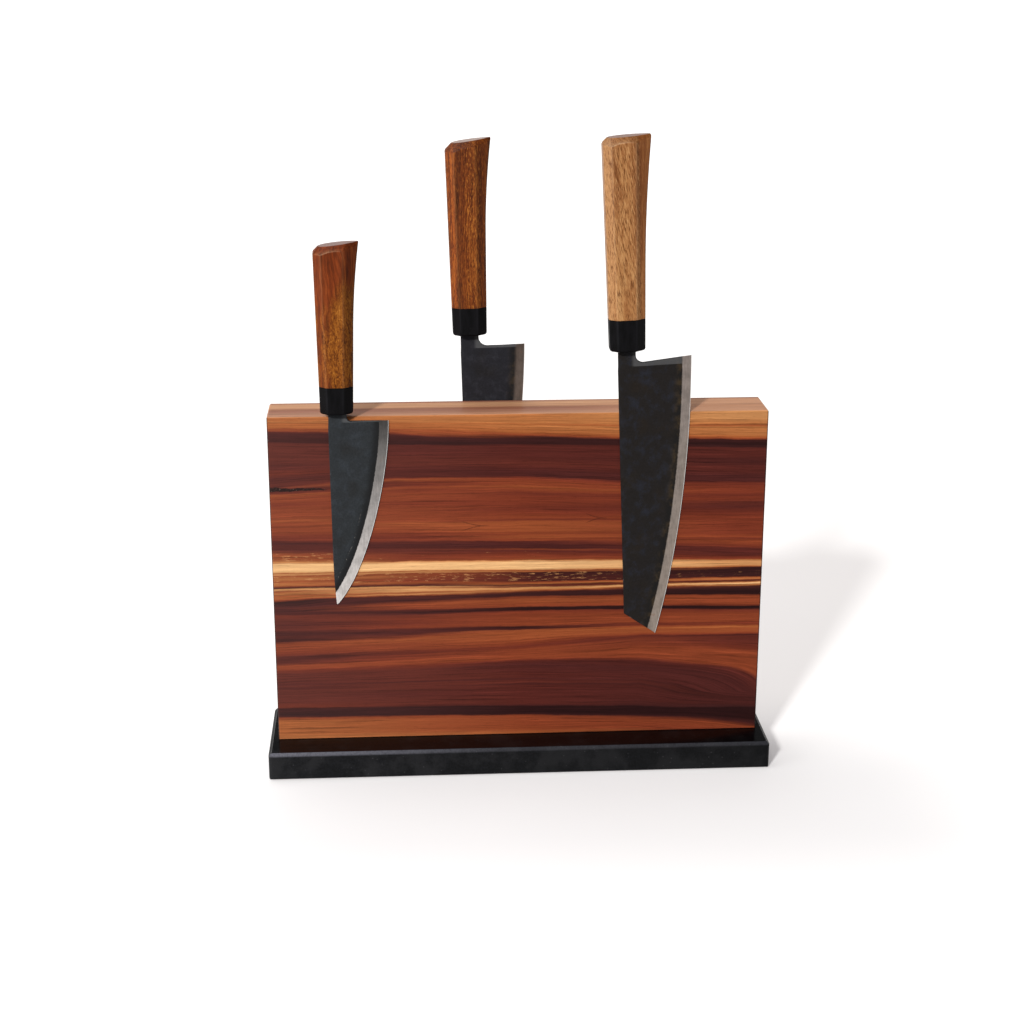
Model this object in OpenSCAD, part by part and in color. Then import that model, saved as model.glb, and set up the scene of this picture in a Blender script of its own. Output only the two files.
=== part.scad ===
// Double-sided magnetic knife block: an upright two-board wooden panel bolted to a stone base,
// with three hand-forged kitchen knives held flat against its faces by hidden magnets.
// Millimetres, +Z up, origin at the middle of the footprint on the surface the block stands on.

/* [Stone base] */
// Width of the stone base along X
base_w = 348; // [340:1:400]
// Depth of the stone base along Y
base_d = 82; // [78:1:120]
// Thickness of the stone itself
base_h = 19; // [17:0.5:30]
// Radius of the four upright corners
base_corner_r = 3; // [1:0.5:6]
// Size of the bevel round the top edge
base_bevel = 2.2; // [0.5:0.1:4]
// Height the rubber feet hold the stone above the surface
foot_stand = 1; // [0.5:0.1:3]
// Diameter of a rubber foot
foot_d = 16; // [10:1:20]
// Distance from the base's ends to the middle of a foot
foot_inset_x = 24; // [16:1:40]
// Distance from the base's long edges to the middle of a foot
foot_inset_y = 15; // [12:1:20]

/* [Wooden panel] */
// Width of the panel along X
panel_w = 336; // [330:1:338]
// Height of the panel above the stone
panel_h = 232.5; // [225:0.5:260]
// Thickness of the two boards together
panel_t = 37.5; // [36:0.5:44]
// How far the panel stands behind the middle of the base
panel_setback = 2.2; // [0:0.1:6]
// Radius of the panel's upright edges
panel_edge_r = 1.2; // [0.5:0.1:3]
// Easing along the panel's top and bottom edges
panel_ease = 0.9; // [0.3:0.1:2]

/* [Magnets and keepers] */
// Diameter of a magnet disc
magnet_d = 20; // [12:1:24]
// Thickness of a magnet disc
magnet_t = 12; // [6:0.5:12]
// Wood left between a magnet and the panel's face
magnet_skin = 2.5; // [1.5:0.1:3]
// Magnets in one row
magnet_count = 7; // [3:1:7]
// Distance between neighbouring magnets in a row
magnet_pitch = 44; // [30:1:46]
// Height of the lower row of magnets
magnet_low_z = 135; // [100:1:150]
// Height of the upper row of magnets
magnet_high_z = 212; // [180:1:230]
// Thickness of the steel keeper bar behind a row
keeper_t = 4; // [2:0.5:4]
// Height of the keeper bar
keeper_h = 18; // [10:1:24]

/* [Fasteners] */
// Diameter of the base bolts
bolt_d = 6; // [5:1:6]
// Length of a base bolt under its head
bolt_len = 25; // [20:1:30]
// Distance along X between the bolts on one board
bolt_span = 220; // [120:1:280]
// Outside diameter of a threaded insert
insert_d = 9.5; // [8:0.5:11]
// Length of a threaded insert
insert_len = 15; // [10:1:20]
// Diameter of the wooden pegs that line the two boards up
peg_d = 8; // [6:1:10]
// Length of a board peg
peg_len = 24; // [16:1:28]

/* [Small knife] */
// Place of the small knife along X, at the foot of its ferrule
small_x = -121.3; // [-140:0.1:-100]
// Height of the foot of its ferrule
small_z = 255.7; // [255:0.1:300]
// Tilt of the small knife in the plane of the panel, degrees
small_lean = 0.2; // [-4:0.1:4]
// Length of its edge from heel to tip
small_edge_len = 129.6; // [110:0.1:150]
// Height of its blade at the heel
small_heel_h = 39.9; // [34:0.1:44]
// Length of its ferrule
small_ferrule_len = 18.5; // [12:0.1:24]
// Length of handle and ferrule together
small_grip_len = 112; // [100:0.1:150]

/* [Middle knife] */
// Place of the middle knife along X, at the foot of its ferrule
middle_x = -31.4; // [-60:0.1:0]
// Height of the foot of its ferrule
middle_z = 298.7; // [256:0.1:320]
// Tilt of the middle knife in the plane of the panel, degrees
middle_lean = -1.25; // [-4:0.05:4]
// Length of its edge from heel to tip
middle_edge_len = 165; // [140:0.1:190]
// Height of its blade at the heel
middle_heel_h = 43.6; // [38:0.1:50]
// Length of its ferrule
middle_ferrule_len = 19; // [12:0.1:24]
// Length of handle and ferrule together
middle_grip_len = 129.5; // [100:0.1:150]

/* [Large knife] */
// Place of the large knife along X, at the foot of its ferrule
large_x = 71; // [50:0.1:110]
// Height of the foot of its ferrule
large_z = 295.6; // [256:0.1:320]
// Tilt of the large knife in the plane of the panel, degrees
large_lean = -2.1; // [-4:0.1:4]
// Length of its edge from heel to tip
large_edge_len = 195; // [170:0.1:200]
// Height of its blade at the heel
large_heel_h = 49.4; // [42:0.1:56]
// Length of its ferrule
large_ferrule_len = 21.4; // [12:0.1:24]
// Length of handle and ferrule together
large_grip_len = 139.8; // [110:0.1:150]

/* [Blades and handles] */
// Thickness of the spine at the heel
spine_heel_t = 3.2; // [2.4:0.1:4.5]
// Thickness of the spine at the tip
spine_tip_t = 1.5; // [0.8:0.1:2.4]
// Width of the ground band along the edge
bevel_w = 6.3; // [3:0.1:10]
// Thickness of the blade where the ground band begins
bevel_t = 1.3; // [0.8:0.1:2]
// Thickness left at the cutting edge
edge_t = 0.2; // [0.1:0.05:0.4]
// Air between a blade and the panel
blade_gap = 0.15; // [0.1:0.05:0.5]
// Thickness of a ferrule at its foot
ferrule_t = 18.6; // [14:0.1:22]
// Thickness of a handle at its butt
butt_t = 20.6; // [16:0.1:24]
// Diameter of the dowel that joins ferrule, tang and handle
tang_dowel_d = 9.5; // [8:0.1:11]
// Length of the tang dowel
tang_dowel_len = 56; // [40:1:80]

/* [Hidden] */
$fn = 64;

glue_gap = 0.1;                          // room round a glued or seated piece
cut = 1;                                 // how far a cutter runs past the face it opens

base_z0 = foot_stand;
base_top = base_z0 + base_h;
panel_top = base_top + panel_h;
front_y = panel_setback - panel_t / 2;   // the panel's front face
back_y = panel_setback + panel_t / 2;    // the panel's back face
board_t = panel_t / 2;

foot_sink = 1;                           // depth of the pocket a foot is glued into
foot_h = foot_stand + foot_sink;

washer_d = 14;
washer_t = 1.6;
bolt_head_d = 10;
bolt_head_h = 6;
hex_key_d = 5.8;                         // across the corners of the bolt's hexagon socket
hex_key_depth = 3;
counterbore_d = 16;
counterbore_depth = 9;
bolt_clear_d = bolt_d + 0.6;
bolt_seat_z = base_z0 + counterbore_depth;
insert_sink = 0.5;                       // the insert sits just below the wood's surface
peg_inset_x = 30;
peg_inset_z = 26;

keeper_w = (magnet_count - 1) * magnet_pitch + magnet_d + 6;
keeper_groove_t = keeper_t + glue_gap;

// One knife: place and tilt, which face it hangs on (1 front, -1 back), blade and grip sizes.
small_knife = [small_x, small_z, small_lean, 1, small_edge_len, small_heel_h,
               small_ferrule_len, small_grip_len];
middle_knife = [middle_x, middle_z, middle_lean, -1, middle_edge_len, middle_heel_h,
                middle_ferrule_len, middle_grip_len];
large_knife = [large_x, large_z, large_lean, 1, large_edge_len, large_heel_h,
               large_ferrule_len, large_grip_len];
function edge_len(knife) = knife[4];
function heel_h(knife) = knife[5];
function ferrule_len(knife) = knife[6];
function grip_len(knife) = knife[7];

// Blade shapes, in the knife's own frame: X from spine to edge, Z up to the butt, the foot of
// the ferrule at the origin. The first number of a pair is a share of the heel height measured
// from the spine, and the second a share of the edge length measured down from the heel.
// [spine x, heel z at the spine, notch radius, neck right x, edge pair 1, edge pair 2,
//  tip pair, spine's end pair, nose bulge]
small_shape = [-5.9, -6, 2.8, 6.4, [1.01, 0.235], [0.68, 0.79], [0.085, 1],
               [0.03, 0.76], 0.01];
middle_shape = [-6.5, -9.1, 6, 5.9, [0.98, 0.25], [0.78, 0.79], [0.36, 1],
                [0.02, 0.74], 0.16];
large_shape = [-6.3, -10.6, 5.2, 5.6, [0.98, 0.3], [0.83, 0.65], [0.454, 0.982],
               [0.02, 0.9], 0];
heel_rise = [0, 1.4, 4.8];               // rise of the heel's top from the spine to the edge

edge_steps = 22;
spine_share = 0.8;                       // share of the steps that lie along the spine
tip_flat = 0.5;                          // the tip is blunt by this much
notch_lip = 0.1;                         // the notch ends this far above the heel's top

tang_t = 3;
tang_root_w = 8;
tang_tip_w = 4.5;
tang_len = 52;
neck_sink = 3;                           // depth of the neck's seat in the ferrule

grip_foot_w = [21.7, 22.9, 23.6];        // width of each ferrule at its foot
grip_taper = [0.0217, 0.0145, 0.0155];   // how fast each side of a grip widens
flare_start = [56, 67.6, 57];            // height where the edge side starts to flare
flare_r = [520, 520, 850];               // radius of the flare
butt_slope = [0.12, 0.119, 0.05];        // rise of the butt's face towards the edge side
spine_chamfer = 5;                       // facet beside the spine, along X and along Y
edge_chamfer = 6.3;                      // facet beside the edge, along X
edge_chamfer_rise = 0.8;                 // the same facet along Y, as a share of that
flare_chamfer = 1.15;                    // how much of the flare the facet takes up
butt_bevel_slope = 0.88;
butt_face_half_y = 8.6;
butt_face_spine_x = [-10, -8.9, -10.8];
butt_face_point = 0.6;                   // how sharply the butt's face narrows to its point
facet_steps = 3;
grip_rings = 13;
ferrule_round = 1.8;                     // rounding of the ferrule's foot
ferrule_round_steps = 4;

wood_red = [0.42, 0.17, 0.09];
wood_tan = [0.66, 0.42, 0.24];
wood_dark = [0.36, 0.19, 0.10];
wood_russet = [0.45, 0.21, 0.10];
beech = [0.80, 0.65, 0.45];
horn = [0.06, 0.06, 0.07];
forged = [0.17, 0.18, 0.21];
steel = [0.70, 0.71, 0.73];
stone = [0.07, 0.07, 0.08];
rubber_black = [0.10, 0.10, 0.10];
nickel = [0.78, 0.78, 0.76];
brass = [0.78, 0.62, 0.30];

// ---- helpers -------------------------------------------------------------------------------

function mix(a, b, t) = a + (b - a) * t;
function bezier(p, t) =
    pow(1 - t, 3) * p[0] + 3 * pow(1 - t, 2) * t * p[1] + 3 * (1 - t) * t * t * p[2]
    + pow(t, 3) * p[3];
function joined(lists) = [for (list = lists) each list];

// A closed solid through rings of the same number of points. Each ring runs clockwise seen from
// the last ring's side.
module loft(rings) {
    n = len(rings[0]);
    last = (len(rings) - 1) * n;
    sides = [for (r = [0:len(rings) - 2], i = [0:n - 1])
        let (a = r * n + i, b = r * n + (i + 1) % n) each [[a, b + n, a + n], [a, b, b + n]]];
    polyhedron(
        points = joined(rings),
        faces = concat([[for (i = [n - 1:-1:0]) i]], sides, [[for (i = [0:n - 1]) last + i]])
    );
}

module rounded_rectangle(w, d, r) {
    square([w - 2 * r, d], center = true);
    square([w, d - 2 * r], center = true);
    for (x = [-1, 1], y = [-1, 1])
        translate([x * (w / 2 - r), y * (d / 2 - r)])
            circle(r = r);
}

module eased_profile(w, h, top, bottom) {
    polygon([
        [-w / 2 + bottom, 0], [w / 2 - bottom, 0], [w / 2, bottom], [w / 2, h - top],
        [w / 2 - top, h], [-w / 2 + top, h], [-w / 2, h - top], [-w / 2, bottom]
    ]);
}

// A block standing on Z = 0 with round upright corners and eased top and bottom edges.
module eased_block(w, d, h, r, top, bottom) {
    intersection() {
        linear_extrude(height = h)
            rounded_rectangle(w, d, r);
        rotate([90, 0, 0])
            linear_extrude(height = d + 2 * cut, center = true)
                eased_profile(w, h, top, bottom);
        rotate([90, 0, 90])
            linear_extrude(height = w + 2 * cut, center = true)
                eased_profile(d, h, top, bottom);
    }
}

module at_feet() {
    for (x = [-1, 1], y = [-1, 1])
        translate([x * (base_w / 2 - foot_inset_x), y * (base_d / 2 - foot_inset_y), 0])
            children();
}

// Two bolts under the middle of each board.
module at_bolts() {
    for (x = [-1, 1], y = [-1, 1])
        translate([x * bolt_span / 2, panel_setback + y * board_t / 2, 0])
            children();
}

module at_pegs() {
    for (x = [-1, 1], z = [base_top + peg_inset_z, panel_top - peg_inset_z])
        translate([x * (panel_w / 2 - peg_inset_x), panel_setback, z])
            rotate([90, 0, 0])
                children();
}

// Places a piece modelled for the front board, or its mirror image on the back board.
module on_side(side) {
    translate([0, panel_setback, 0])
        mirror([0, side == "back" ? 1 : 0, 0])
            children();
}

// ---- base ----------------------------------------------------------------------------------

module granite_base() {
    color(stone)
        difference() {
            translate([0, 0, base_z0])
                eased_block(base_w, base_d, base_h, base_corner_r, base_bevel, 0.6);
            at_feet()
                translate([0, 0, base_z0 - cut])
                    cylinder(d = foot_d + 2 * glue_gap, h = foot_sink + cut);
            at_bolts() {
                translate([0, 0, base_z0 - cut])
                    cylinder(d = counterbore_d, h = counterbore_depth + cut);
                cylinder(d = bolt_clear_d, h = base_top + cut);
            }
        }
}

module rubber_feet() {
    color(rubber_black)
        at_feet()
            cylinder(d = foot_d, h = foot_h);
}

module base_washers() {
    color(steel)
        at_bolts()
            translate([0, 0, bolt_seat_z - washer_t])
                difference() {
                    cylinder(d = washer_d, h = washer_t);
                    translate([0, 0, -cut])
                        cylinder(d = bolt_clear_d, h = washer_t + 2 * cut);
                }
}

module base_bolts() {
    seat = bolt_seat_z - washer_t;
    color(steel)
        at_bolts() {
            difference() {
                translate([0, 0, seat - bolt_head_h])
                    cylinder(d = bolt_head_d, h = bolt_head_h);
                translate([0, 0, seat - bolt_head_h - cut])
                    cylinder(d = hex_key_d, h = hex_key_depth + cut, $fn = 6);
            }
            translate([0, 0, seat])
                cylinder(d = bolt_d, h = bolt_len);
        }
}

module threaded_inserts() {
    color(brass)
        at_bolts()
            translate([0, 0, base_top + insert_sink])
                difference() {
                    cylinder(d = insert_d, h = insert_len);
                    translate([0, 0, -cut])
                        cylinder(d = bolt_d + 2 * glue_gap, h = insert_len + 2 * cut);
                }
}

// ---- panel ---------------------------------------------------------------------------------

// The two rows of places for magnets, on the front board's inner face.
module at_magnets() {
    first = -(magnet_count - 1) / 2;
    for (z = [magnet_low_z, magnet_high_z], i = [0:magnet_count - 1])
        translate([(first + i) * magnet_pitch, 0, z])
            rotate([90, 0, 0])
                children();
}

module magnet_row(side) {
    on_side(side)
        at_magnets()
            translate([0, 0, keeper_groove_t])
                cylinder(d = magnet_d, h = magnet_t);
}

module keeper_bars(side) {
    on_side(side)
        for (z = [magnet_low_z, magnet_high_z])
            translate([-keeper_w / 2, -keeper_groove_t, z - keeper_h / 2])
                cube([keeper_w, keeper_t, keeper_h]);
}

// One of the two boards, routed from its inner face for magnets and keeper bars.
module board(side) {
    groove_w = keeper_w + 2 * glue_gap;
    groove_h = keeper_h + 2 * glue_gap;
    pocket_depth = board_t - magnet_skin;
    difference() {
        intersection() {
            translate([0, panel_setback, base_top])
                eased_block(panel_w, panel_t, panel_h, panel_edge_r, panel_ease, 0.5);
            on_side(side)
                translate([-panel_w, -panel_t, 0])
                    cube([2 * panel_w, panel_t, 2 * panel_top]);
        }
        on_side(side) {
            at_magnets()
                translate([0, 0, -cut])
                    cylinder(d = magnet_d + 2 * glue_gap, h = pocket_depth + cut);
            for (z = [magnet_low_z, magnet_high_z])
                translate([-groove_w / 2, -keeper_groove_t, z - groove_h / 2])
                    cube([groove_w, keeper_groove_t + cut, groove_h]);
        }
        at_pegs()
            cylinder(d = peg_d + 2 * glue_gap, h = peg_len + 1, center = true);
        at_bolts()
            translate([0, 0, base_top - cut])
                cylinder(d = insert_d + 2 * glue_gap, h = insert_sink + insert_len + 2 * cut);
    }
}

module front_board() {
    color(wood_red)
        board("front");
}

module back_board() {
    color(wood_red)
        board("back");
}

module board_pegs() {
    color(beech)
        at_pegs()
            cylinder(d = peg_d, h = peg_len, center = true);
}

module front_magnets() {
    color(nickel)
        magnet_row("front");
}

module back_magnets() {
    color(nickel)
        magnet_row("back");
}

module front_keepers() {
    color(steel)
        keeper_bars("front");
}

module back_keepers() {
    color(steel)
        keeper_bars("back");
}

// ---- knives --------------------------------------------------------------------------------

// Hangs a knife modelled in its own frame, with its flat side on Y = 0, on its face of the panel.
module hang(knife) {
    on_front = knife[3] > 0;
    translate([knife[0], on_front ? front_y - blade_gap : back_y + blade_gap, knife[1]])
        rotate([0, knife[2], 0])
            mirror([0, on_front ? 0 : 1, 0])
                children();
}

// A point given by its shares of the heel height and the edge length.
function blade_point(knife, shape, share) =
    [shape[0] + share[0] * heel_h(knife), shape[1] - share[1] * edge_len(knife)];

function edge_curve(knife, shape, rise) = [
    [shape[0] + heel_h(knife), shape[1] + rise],
    blade_point(knife, shape, shape[4]),
    blade_point(knife, shape, shape[5]),
    blade_point(knife, shape, shape[6])
];

// The back of the blade: a nearly straight spine, then the nose that runs down to the tip.
function spine_point(knife, shape, t) =
    let (
        start = [shape[0], shape[1]],
        corner = blade_point(knife, shape, shape[7]),
        tip = blade_point(knife, shape, shape[6]) + [-tip_flat, tip_flat],
        bulge = [-shape[8] * heel_h(knife), -shape[8] * heel_h(knife) / 2],
        u = min(1, t / spine_share),
        v = max(0, (t - spine_share) / (1 - spine_share)),
        nose = [corner, mix(corner, tip, 0.33) + bulge, mix(corner, tip, 0.67) + bulge, tip]
    )
    t < spine_share ? mix(start, corner, u) : bezier(nose, v);

// The share of the edge curve that lies opposite a step along the back.
function edge_share(knife, shape, t) =
    t < spine_share ? mix(0, shape[7][1] * 0.985, t / spine_share)
    : mix(shape[7][1] * 0.985, 1, (t - spine_share) / (1 - spine_share));

// One cross-section of the blade: spine, ground line and edge, on the flat side and on the other.
function blade_ring(knife, shape, rise, t) =
    let (
        s = spine_point(knife, shape, t),
        e = bezier(edge_curve(knife, shape, rise), edge_share(knife, shape, t)),
        across = norm(e - s),
        b = mix(e, s, min(bevel_w, across * 0.55) / across),
        spine_t = mix(spine_heel_t, spine_tip_t, t),
        ground_t = min(bevel_t, spine_t * 0.8),
        mid = -ground_t / 2
    )
    [
        [s[0], -spine_t, s[1]], [b[0], -ground_t, b[1]], [e[0], mid - edge_t / 2, e[1]],
        [e[0], mid + edge_t / 2, e[1]], [b[0], 0, b[1]], [s[0], 0, s[1]]
    ];

// The neck between blade and ferrule, with a round notch above the heel.
module neck(knife, shape, rise) {
    left = shape[0] + 0.2;
    right = shape[3];
    r = shape[2];
    low = shape[1] + rise * (right + r - shape[0]) / heel_h(knife) + notch_lip;
    notch = [for (a = [180:15:270]) [right + r + r * cos(a), low + r + r * sin(a)]];
    rotate([90, 0, 0])
        linear_extrude(height = tang_t)
            polygon(concat([[left, neck_sink], [right, neck_sink]], notch,
                           [[right + r, low - 2], [left, low - 4]]));
}

// The tang tapers up into the slotted dowel.
module tang(shape) {
    middle = (shape[0] + shape[3]) / 2;
    rotate([90, 0, 0])
        linear_extrude(height = tang_t)
            polygon([
                [middle - tang_root_w / 2, neck_sink - cut], [middle + tang_root_w / 2, neck_sink - cut],
                [middle + tang_tip_w / 2, tang_len], [middle - tang_tip_w / 2, tang_len]
            ]);
}

module blade(knife, shape, rise) {
    color(forged)
        hang(knife) {
            loft([for (i = [0:edge_steps]) blade_ring(knife, shape, rise, i / edge_steps)]);
            neck(knife, shape, rise);
            tang(shape);
        }
}

// Half widths and half thickness of a grip at height z above the foot of its ferrule.
function flare(k, z) = z > flare_start[k] ? pow(z - flare_start[k], 2) / (2 * flare_r[k]) : 0;
function spine_half(k, z) = grip_foot_w[k] / 2 + grip_taper[k] * z;
function edge_half(k, z) = spine_half(k, z) + flare(k, z);
function half_t(knife, z) = mix(ferrule_t, butt_t, z / grip_len(knife)) / 2;

// The eight corners of a grip's section at height z, clockwise from the spine side's front.
function grip_corners(k, knife, z) =
    let (
        a = spine_half(k, z), b = edge_half(k, z), t = half_t(knife, z),
        c = edge_chamfer + flare_chamfer * flare(k, z), s = t - c * edge_chamfer_rise
    )
    [
        [-a, spine_chamfer - t], [-a, t - spine_chamfer], [spine_chamfer - a, t], [b - c, t],
        [b, s], [b, -s], [b - c, -t], [spine_chamfer - a, -t]
    ];

// Point i of the same section with each facet split into equal steps.
function grip_point(k, knife, z, i) =
    let (
        corners = grip_corners(k, knife, z),
        side = floor(i / facet_steps),
        share = (i % facet_steps) / facet_steps
    )
    mix(corners[side], corners[(side + 1) % 8], share);

// The butt's flat face: a leaf with its point on the edge side, opposite a point of the section.
function butt_leaf(k, knife, p) =
    let (
        end = grip_len(knife),
        reach = edge_half(k, end),
        middle = (reach - spine_half(k, end)) / 2,
        turn = atan2(p[1] / half_t(knife, end), (p[0] - middle) / (reach - middle)),
        radius = (reach - butt_face_spine_x[k]) / 2,
        narrow = pow(abs(sin(turn / 2)), butt_face_point)
    )
    [reach - radius + radius * cos(turn), butt_face_half_y * sin(turn) * narrow];

function butt_height(k, knife, x) = grip_len(knife) + butt_slope[k] * x;

// Where the bevel round the butt begins, below its face.
function bevel_foot(k, knife, i) =
    let (
        p = grip_point(k, knife, grip_len(knife), i),
        drop = norm(p - butt_leaf(k, knife, p)) * butt_bevel_slope
    )
    butt_height(k, knife, p[0]) - drop;

function grip_ring(k, knife, share) = [
    for (i = [0:8 * facet_steps - 1])
        let (
            z = mix(ferrule_len(knife), bevel_foot(k, knife, i), share),
            p = grip_point(k, knife, z, i)
        )
        [p[0], p[1], z]
];

function butt_ring(k, knife) = [
    for (i = [0:8 * facet_steps - 1])
        let (leaf = butt_leaf(k, knife, grip_point(k, knife, grip_len(knife), i)))
        [leaf[0], leaf[1], butt_height(k, knife, leaf[0])]
];

// A ring of the ferrule, drawn in towards its foot by the rounding.
function ferrule_ring(k, knife, z, inset) = [
    for (p = grip_corners(k, knife, z))
        [p[0] * (1 - inset / spine_half(k, z)), p[1] * (1 - inset / half_t(knife, z)), z]
];

// Moves a grip so that its middle plane is the blade's middle plane.
module on_blade_middle() {
    translate([0, -tang_t / 2, 0])
        children();
}

module tang_dowel(knife, shape) {
    middle = (shape[0] + shape[3]) / 2;
    color(beech)
        hang(knife)
            on_blade_middle()
                difference() {
                    translate([middle, 0, neck_sink + glue_gap])
                        cylinder(d = tang_dowel_d, h = tang_dowel_len);
                    translate([middle, 0, 0])
                        cube([2 * tang_dowel_d, tang_t + 2 * glue_gap, 2 * (tang_len + 1)],
                             center = true);
                }
}

module dowel_hole(shape) {
    translate([(shape[0] + shape[3]) / 2, 0, neck_sink])
        cylinder(d = tang_dowel_d + 2 * glue_gap, h = tang_dowel_len + 1);
}

module ferrule(k, knife, shape) {
    foot = [for (i = [0:ferrule_round_steps])
        let (a = 90 * i / ferrule_round_steps)
        ferrule_ring(k, knife, ferrule_round * (1 - cos(a)), ferrule_round * (1 - sin(a)))];
    neck_w = shape[3] - shape[0] - 0.2;
    color(horn)
        hang(knife)
            on_blade_middle()
                difference() {
                    loft(concat(foot, [ferrule_ring(k, knife, ferrule_len(knife), 0)]));
                    dowel_hole(shape);
                    translate([shape[0] + 0.2 + neck_w / 2, 0, 0])
                        cube([neck_w + 2 * glue_gap, tang_t + 2 * glue_gap,
                              2 * (neck_sink + glue_gap)], center = true);
                }
}

module handle(k, knife, shape, wood) {
    color(wood)
        hang(knife)
            on_blade_middle()
                difference() {
                    loft(concat(
                        [for (i = [0:grip_rings]) grip_ring(k, knife, i / grip_rings)],
                        [butt_ring(k, knife)]
                    ));
                    dowel_hole(shape);
                }
}

module small_blade() { blade(small_knife, small_shape, heel_rise[0]); }
module small_ferrule() { ferrule(0, small_knife, small_shape); }
module small_dowel() { tang_dowel(small_knife, small_shape); }
module small_handle() { handle(0, small_knife, small_shape, wood_russet); }

module middle_blade() { blade(middle_knife, middle_shape, heel_rise[1]); }
module middle_ferrule() { ferrule(1, middle_knife, middle_shape); }
module middle_dowel() { tang_dowel(middle_knife, middle_shape); }
module middle_handle() { handle(1, middle_knife, middle_shape, wood_dark); }

module large_blade() { blade(large_knife, large_shape, heel_rise[2]); }
module large_ferrule() { ferrule(2, large_knife, large_shape); }
module large_dowel() { tang_dowel(large_knife, large_shape); }
module large_handle() { handle(2, large_knife, large_shape, wood_tan); }

granite_base();
rubber_feet();
base_bolts();
base_washers();
threaded_inserts();
front_board();
back_board();
board_pegs();
front_magnets();
back_magnets();
front_keepers();
back_keepers();
small_blade();
small_ferrule();
small_dowel();
small_handle();
middle_blade();
middle_ferrule();
middle_dowel();
middle_handle();
large_blade();
large_ferrule();
large_dowel();
large_handle();
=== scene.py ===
"""Looks for the knife block: a magnetic panel of striped hardwood on dark stone, and three knives."""

import math

import bmesh
import bpy
from mathutils import Matrix, Vector
from mathutils.geometry import delaunay_2d_cdt


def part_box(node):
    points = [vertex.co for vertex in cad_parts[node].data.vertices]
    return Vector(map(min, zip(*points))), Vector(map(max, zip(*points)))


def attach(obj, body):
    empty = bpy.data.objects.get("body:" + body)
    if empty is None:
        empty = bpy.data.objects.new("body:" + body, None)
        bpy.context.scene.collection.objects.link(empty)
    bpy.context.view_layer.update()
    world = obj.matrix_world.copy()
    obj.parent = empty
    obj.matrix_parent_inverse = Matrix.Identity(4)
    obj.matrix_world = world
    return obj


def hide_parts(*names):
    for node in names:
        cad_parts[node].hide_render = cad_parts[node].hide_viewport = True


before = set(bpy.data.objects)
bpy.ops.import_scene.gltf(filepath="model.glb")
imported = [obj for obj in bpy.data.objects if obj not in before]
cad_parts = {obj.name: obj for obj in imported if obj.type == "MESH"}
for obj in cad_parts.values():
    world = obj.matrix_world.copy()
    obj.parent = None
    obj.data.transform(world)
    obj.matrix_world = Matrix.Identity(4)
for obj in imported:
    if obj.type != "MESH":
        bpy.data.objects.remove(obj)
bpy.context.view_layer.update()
MM = 0.001

PANEL_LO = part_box("front_board")[0] / MM
PANEL_HI = Vector(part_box("back_board")[1]) / MM
SEAM_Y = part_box("front_board")[1].y / MM
PANEL_LEFT, FRONT_Y, PANEL_BOTTOM = PANEL_LO
PANEL_RIGHT, BACK_Y, PANEL_TOP = PANEL_HI
BASE_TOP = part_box("granite_base")[1].z / MM


# ---- colours and node helpers ----------------------------------------------------------------


def linear(value):
    """One 0-255 display value as a linear one."""
    value = value / 255
    return value / 12.92 if value <= 0.04045 else ((value + 0.055) / 1.055) ** 2.4


def tint(r, g, b, gain=1.0):
    """A display colour as a linear node colour, scaled by the light that falls on it."""
    return (linear(r) * gain, linear(g) * gain, linear(b) * gain, 1.0)


def shades(gain, *stops):
    """Ramp stops from rows of a place and a display colour."""
    return [(place, tint(r, g, b, gain)) for place, r, g, b in stops]


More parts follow.
